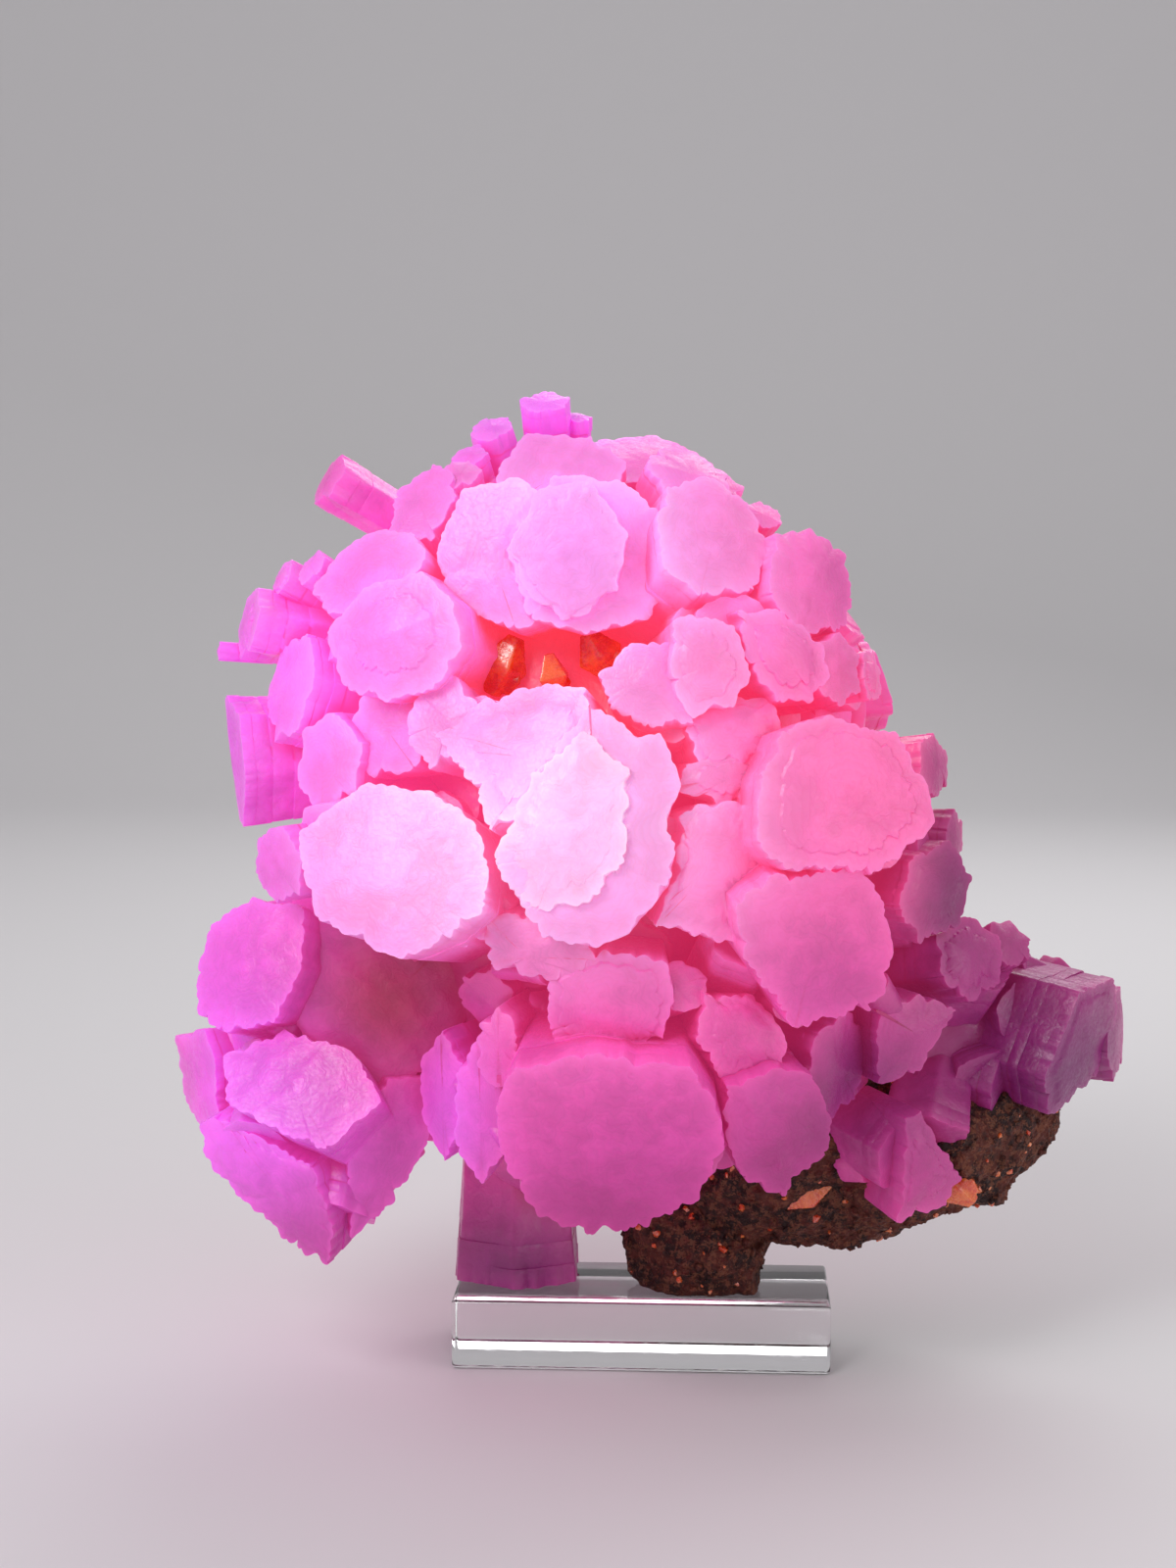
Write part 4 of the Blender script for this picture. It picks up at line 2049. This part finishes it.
@dataclass(frozen=True)
class AragoniteFinish:
    """Milky crystal with satin faces: pale at its rims, ember red in its crevices."""

    name: str
    roughness: tuple[float, float] = (0.34, 0.54)
    translucence: float = 0.4
    glow: float = 0.22
    cloud_size: float = 11.0

    def material(self, groups: Groups) -> bpy.types.Material:
        """Makes the material.

        Args:
            groups: The shared node groups.

        Returns:
            The material.
        """
        material, graph, shader = new_material(self.name, {
            "Metallic": 0.0,
            "IOR": 1.55,
            "Subsurface Weight": self.translucence,
            "Subsurface Radius": (1.0, 0.38, 0.55),
            "Subsurface Scale": 0.0022,
            "Coat Weight": 0.1,
            "Coat Roughness": 0.24,
            "Emission Strength": self.glow,
        })
        clouds = graph.group(groups.clouds, Size=self.cloud_size, Finer=0.5, Contrast=1.1)
        growth = graph.group(
            groups.growth,
            Hue=graph.stored("hue", "Color"),
            Deep_hue=graph.stored("deep_hue", "Color"),
            Shelter=graph.stored("shelter"),
            Rim=graph.stored("rim"),
            Contour=graph.stored("contour"),
            Depth=graph.stored("depth"),
            Clouds=clouds.outputs["Mask"],
            Zones=9.0,
            Zone_strength=0.05,
            Rim_strength=0.5,
        )
        skin = graph.group(groups.skin, Grain_size=0.7, Grain_depth=0.09, Cell_size=2.2, Cell_depth=0.07)
        graph.feed(growth.outputs["Colour"], shader.inputs["Base Color"])
        graph.feed(growth.outputs["Light"], shader.inputs["Emission Color"])
        graph.feed(graph.spread(skin.outputs["Wear"], 0.0, 1.0, *self.roughness), shader.inputs["Roughness"])
        add_relief(graph, shader, graph.math("ADD", skin.outputs["Height"], growth.outputs["Height"]), 0.8)
        return material


@dataclass(frozen=True)
class RockFinish:
    """Dull reddish-brown rock with darker and rustier grains."""

    name: str = "granular_rock"
    dark: Colour = (0.17, 0.08, 0.08)
    rusty: Colour = (0.37, 0.17, 0.14)
    pale: Colour = (0.55, 0.33, 0.24)

    def material(self, groups: Groups) -> bpy.types.Material:
        """Makes the material.

        Args:
            groups: The shared node groups.

        Returns:
            The material.
        """
        material, graph, shader = new_material(self.name, {"IOR": 1.5, "Specular IOR Level": 0.35})
        clouds = graph.group(groups.clouds, Size=7.0, Finer=0.9, Contrast=1.4)
        speckle = graph.group(groups.clouds, Size=1.6, Finer=0.8, Contrast=1.8)
        skin = graph.group(groups.skin, Grain_size=0.5, Grain_depth=0.35, Cell_size=1.3, Cell_depth=0.4)
        stained = graph.mix(clouds.outputs["Mask"], opaque(self.dark), opaque(self.rusty))
        share = graph.math("MULTIPLY", graph.spread(speckle.outputs["Mask"], 0.75, 1.0), 0.5)
        graph.feed(graph.mix(share, stained, opaque(self.pale)), shader.inputs["Base Color"])
        graph.feed(graph.spread(skin.outputs["Wear"], 0.0, 1.0, 0.6, 0.95), shader.inputs["Roughness"])
        add_relief(graph, shader, skin.outputs["Height"], 1.0)
        return material


@dataclass(frozen=True)
class SulfurFinish:
    """Resinous amber sulfur, clouded inside and a little worn."""

    name: str = "amber_sulfur"
    clear: Colour = (0.97, 0.47, 0.20)
    clouded: Colour = (0.88, 0.28, 0.16)

    def material(self, groups: Groups) -> bpy.types.Material:
        """Makes the material.

        Args:
            groups: The shared node groups.

        Returns:
            The material.
        """
        material, graph, shader = new_material(self.name, {
            "IOR": 1.95,
            "Subsurface Weight": 0.35,
            "Subsurface Radius": (1.0, 0.45, 0.12),
            "Subsurface Scale": 0.003,
            "Coat Weight": 0.2,
            "Coat Roughness": 0.15,
        })
        clouds = graph.group(groups.clouds, Size=3.2, Finer=0.6, Contrast=1.3)
        skin = graph.group(groups.skin, Grain_size=0.5, Grain_depth=0.04, Cell_size=1.4, Cell_depth=0.06)
        mixed = graph.mix(clouds.outputs["Mask"], opaque(self.clear), opaque(self.clouded))
        graph.feed(mixed, shader.inputs["Base Color"])
        graph.feed(graph.spread(skin.outputs["Wear"], 0.0, 1.0, 0.16, 0.42), shader.inputs["Roughness"])
        add_relief(graph, shader, skin.outputs["Height"], 0.7)
        return material


@dataclass(frozen=True)
class AcrylicFinish:
    """Clear polished acrylic with faint rubbing marks."""

    name: str = "clear_acrylic"

    def material(self, groups: Groups) -> bpy.types.Material:
        """Makes the material.

        Args:
            groups: The shared node groups.

        Returns:
            The material.
        """
        material, graph, shader = new_material(self.name, {
            "Base Color": (0.985, 0.99, 1.0, 1.0),
            "Metallic": 0.0,
            "IOR": 1.49,
            "Transmission Weight": 1.0,
        })
        skin = graph.group(groups.skin, Grain_size=3.0, Grain_depth=0.01, Cell_size=9.0, Cell_depth=0.004)
        graph.feed(graph.spread(skin.outputs["Wear"], 0.2, 1.0, 0.015, 0.09), shader.inputs["Roughness"])
        add_relief(graph, shader, skin.outputs["Height"], 0.3)
        return material


@dataclass(frozen=True)
class Lamp:
    """One soft rectangular studio light: where it stands, what it faces, its sides, power and colour."""

    name: str
    spot: Point
    faces: Point
    sides: tuple[float, float]
    watts: float
    colour: Colour = (1.0, 1.0, 1.0)

    def build(self) -> None:
        """Hangs the light."""
        data = bpy.data.lights.new(self.name, "AREA")
        data.shape = "RECTANGLE"
        data.size, data.size_y = self.sides
        data.energy = self.watts
        data.color = self.colour
        lamp = bpy.data.objects.new(self.name, data)
        lamp.location = self.spot
        away = Vector(self.faces) - Vector(self.spot)
        lamp.rotation_euler = away.to_track_quat("-Z", "Y").to_euler()
        bpy.context.scene.collection.objects.link(lamp)


@dataclass(frozen=True)
class Studio:
    """A pale sweep of floor and backdrop, soft lights, and the camera at the photograph's angle."""

    eye: Point = (0.0154, -0.5079, 0.1748)
    azimuth: float = 3.0
    pitch: float = 6.5
    lens: float = 58.5
    sensor: float = 36.0
    clip: tuple[float, float] = (0.02, 20.0)
    floor_colour: Colour = (0.88, 0.87, 0.88)
    floor_gap: float = 0.0003
    floor_side: float = 3.0
    floor_front: float = -2.4
    floor_back: float = 0.9
    bend: float = 0.35
    bend_steps: int = 12
    wall_top: float = 1.6
    surround: float = 0.42
    lamps: tuple[Lamp, ...] = (
        Lamp("key_light", (-0.42, -0.62, 0.62), (0.0, 0.0, 0.10), (0.40, 0.40), 3.6),
        Lamp("fill_light", (0.70, -0.45, 0.30), (0.0, 0.0, 0.09), (0.55, 0.55), 1.2),
        Lamp("back_light", (0.25, 0.60, 0.65), (0.0, 0.0, 0.12), (0.90, 0.50), 3.0),
    )

    def add_camera(self) -> None:
        """Stands the camera where the photograph was taken from."""
        data = bpy.data.cameras.new("camera")
        data.lens = self.lens
        data.sensor_width = self.sensor
        data.clip_start, data.clip_end = self.clip
        camera = bpy.data.objects.new("camera", data)
        camera.location = self.eye
        camera.rotation_euler = (math.radians(90.0 - self.pitch), 0.0, math.radians(self.azimuth))
        bpy.context.scene.collection.objects.link(camera)
        bpy.context.scene.camera = camera

    def add_floor(self) -> None:
        """Lays the floor and curves it up into the backdrop."""
        profile = [(self.floor_front, 0.0), (self.floor_back, 0.0)]
        for step in range(1, self.bend_steps + 1):
            turn = math.pi * 0.5 * step / self.bend_steps
            profile.append((self.floor_back + self.bend * math.sin(turn), self.bend * (1.0 - math.cos(turn))))
        profile.append((self.floor_back + self.bend, self.wall_top))
        shape = bmesh.new()
        rows = [
            [shape.verts.new((side, y, z - self.floor_gap)) for y, z in profile]
            for side in (-self.floor_side, self.floor_side)
        ]
        for k in range(len(profile) - 1):
            face = shape.faces.new((rows[0][k], rows[1][k], rows[1][k + 1], rows[0][k + 1]))
            face.smooth = True
        mesh = bpy.data.meshes.new("studio_floor")
        shape.to_mesh(mesh)
        shape.free()
        floor = place("studio_floor", mesh)
        look = {"Base Color": opaque(self.floor_colour), "Roughness": 0.75}
        floor.data.materials.append(new_material("pale_floor", look)[0])

    def build(self) -> None:
        """Sets up the camera, the floor, the lights and a soft even surround."""
        self.add_camera()
        self.add_floor()
        for lamp in self.lamps:
            lamp.build()
        world = bpy.data.worlds.new("soft_surround")
        world.use_nodes = True
        background = world.node_tree.nodes["Background"]
        background.inputs["Color"].default_value = (1.0, 1.0, 1.0, 1.0)
        background.inputs["Strength"].default_value = self.surround
        bpy.context.scene.world = world
        bpy.context.scene.view_settings.view_transform = "Standard"


def dress(piece: bpy.types.Object, material: bpy.types.Material, sharp: float) -> None:
    """Puts a finish on a piece and shades it smooth up to its sharp edges, in degrees.

    Args:
        piece: The piece.
        material: Its finish.
        sharp: The least angle of a sharp edge, in degrees.
    """
    piece.data.materials.clear()
    piece.data.materials.append(material)
    piece.data.shade_smooth()
    piece.data.set_sharp_from_angle(angle=math.radians(sharp))


def settle(piece: bpy.types.Object, slot: str, *nodes: str) -> None:
    """Fixes a piece to the specimen in place of its plain solids, and reports it.

    Args:
        piece: The piece.
        slot: The kind of material that it is.
        nodes: The solids that it stands for.
    """
    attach(piece, "root")
    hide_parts(*nodes)
    LOG.info("%s: %d triangles, in place of %s", piece.name, len(piece.data.polygons), ", ".join(nodes))


def build_cluster(groups: Groups) -> None:
    """Builds and dresses the aragonite.

    Args:
        groups: The shared node groups.
    """
    sprays = cluster_sprays()
    large = tuple(prism for spray in sprays for prism in spray.prisms)
    roots = RootMass()
    wider, medium, small = roots.fillers(large)
    for size, group, seed in (("filling", wider, 16), ("lesser", medium, 18)):
        front = tuple(prism for prism in group if prism.tip[1] < FRONT_LIMIT)
        back = tuple(prism for prism in group if prism.tip[1] >= FRONT_LIMIT)
        sprays += (
            Spray(f"front_{size}_crystals", front, seed, SMALL),
            Spray(f"back_{size}_crystals", back, seed + 1, COARSE),
        )
    pieces = [spray.build() for spray in sprays]
    pieces.append(roots.build(small))
    rock = MatrixRock()
    crowding = Crowding(large + wider + medium + small, (*ROOTS, (rock.centre, rock.half)))
    satin = AragoniteFinish("satin_aragonite").material(groups)
    for piece in pieces:
        crowding.mark(piece)
        dress(piece, satin, ARAGONITE_CREASE)
        settle(piece, "aragonite", "aragonite_cluster")


def main() -> None:
    """Builds the specimen, its block and the studio round them."""
    Studio().build()
    groups = Groups(clouds_group(), skin_group(), growth_group())
    build_cluster(groups)
    rock, grains, amber_grains = MatrixRock().build()
    stone = RockFinish().material(groups)
    amber = SulfurFinish().material(groups)
    for piece, material in ((rock, stone), (grains, stone), (amber_grains, amber)):
        dress(piece, material, ROCK_CREASE)
        settle(piece, "sulfur" if material is amber else "matrix", "sulfur_matrix")
    for crystal in SULFUR:
        piece = crystal.build()
        dress(piece, amber, PLAIN_CREASE)
        settle(piece, "sulfur", crystal.node)
    block = AcrylicBlock().build()
    dress(block, AcrylicFinish().material(groups), PLAIN_CREASE)
    settle(block, "acrylic", "acrylic_stand")


if __name__ == "__main__":
    logging.basicConfig(level=logging.INFO, format="%(name)s: %(message)s")
    main()
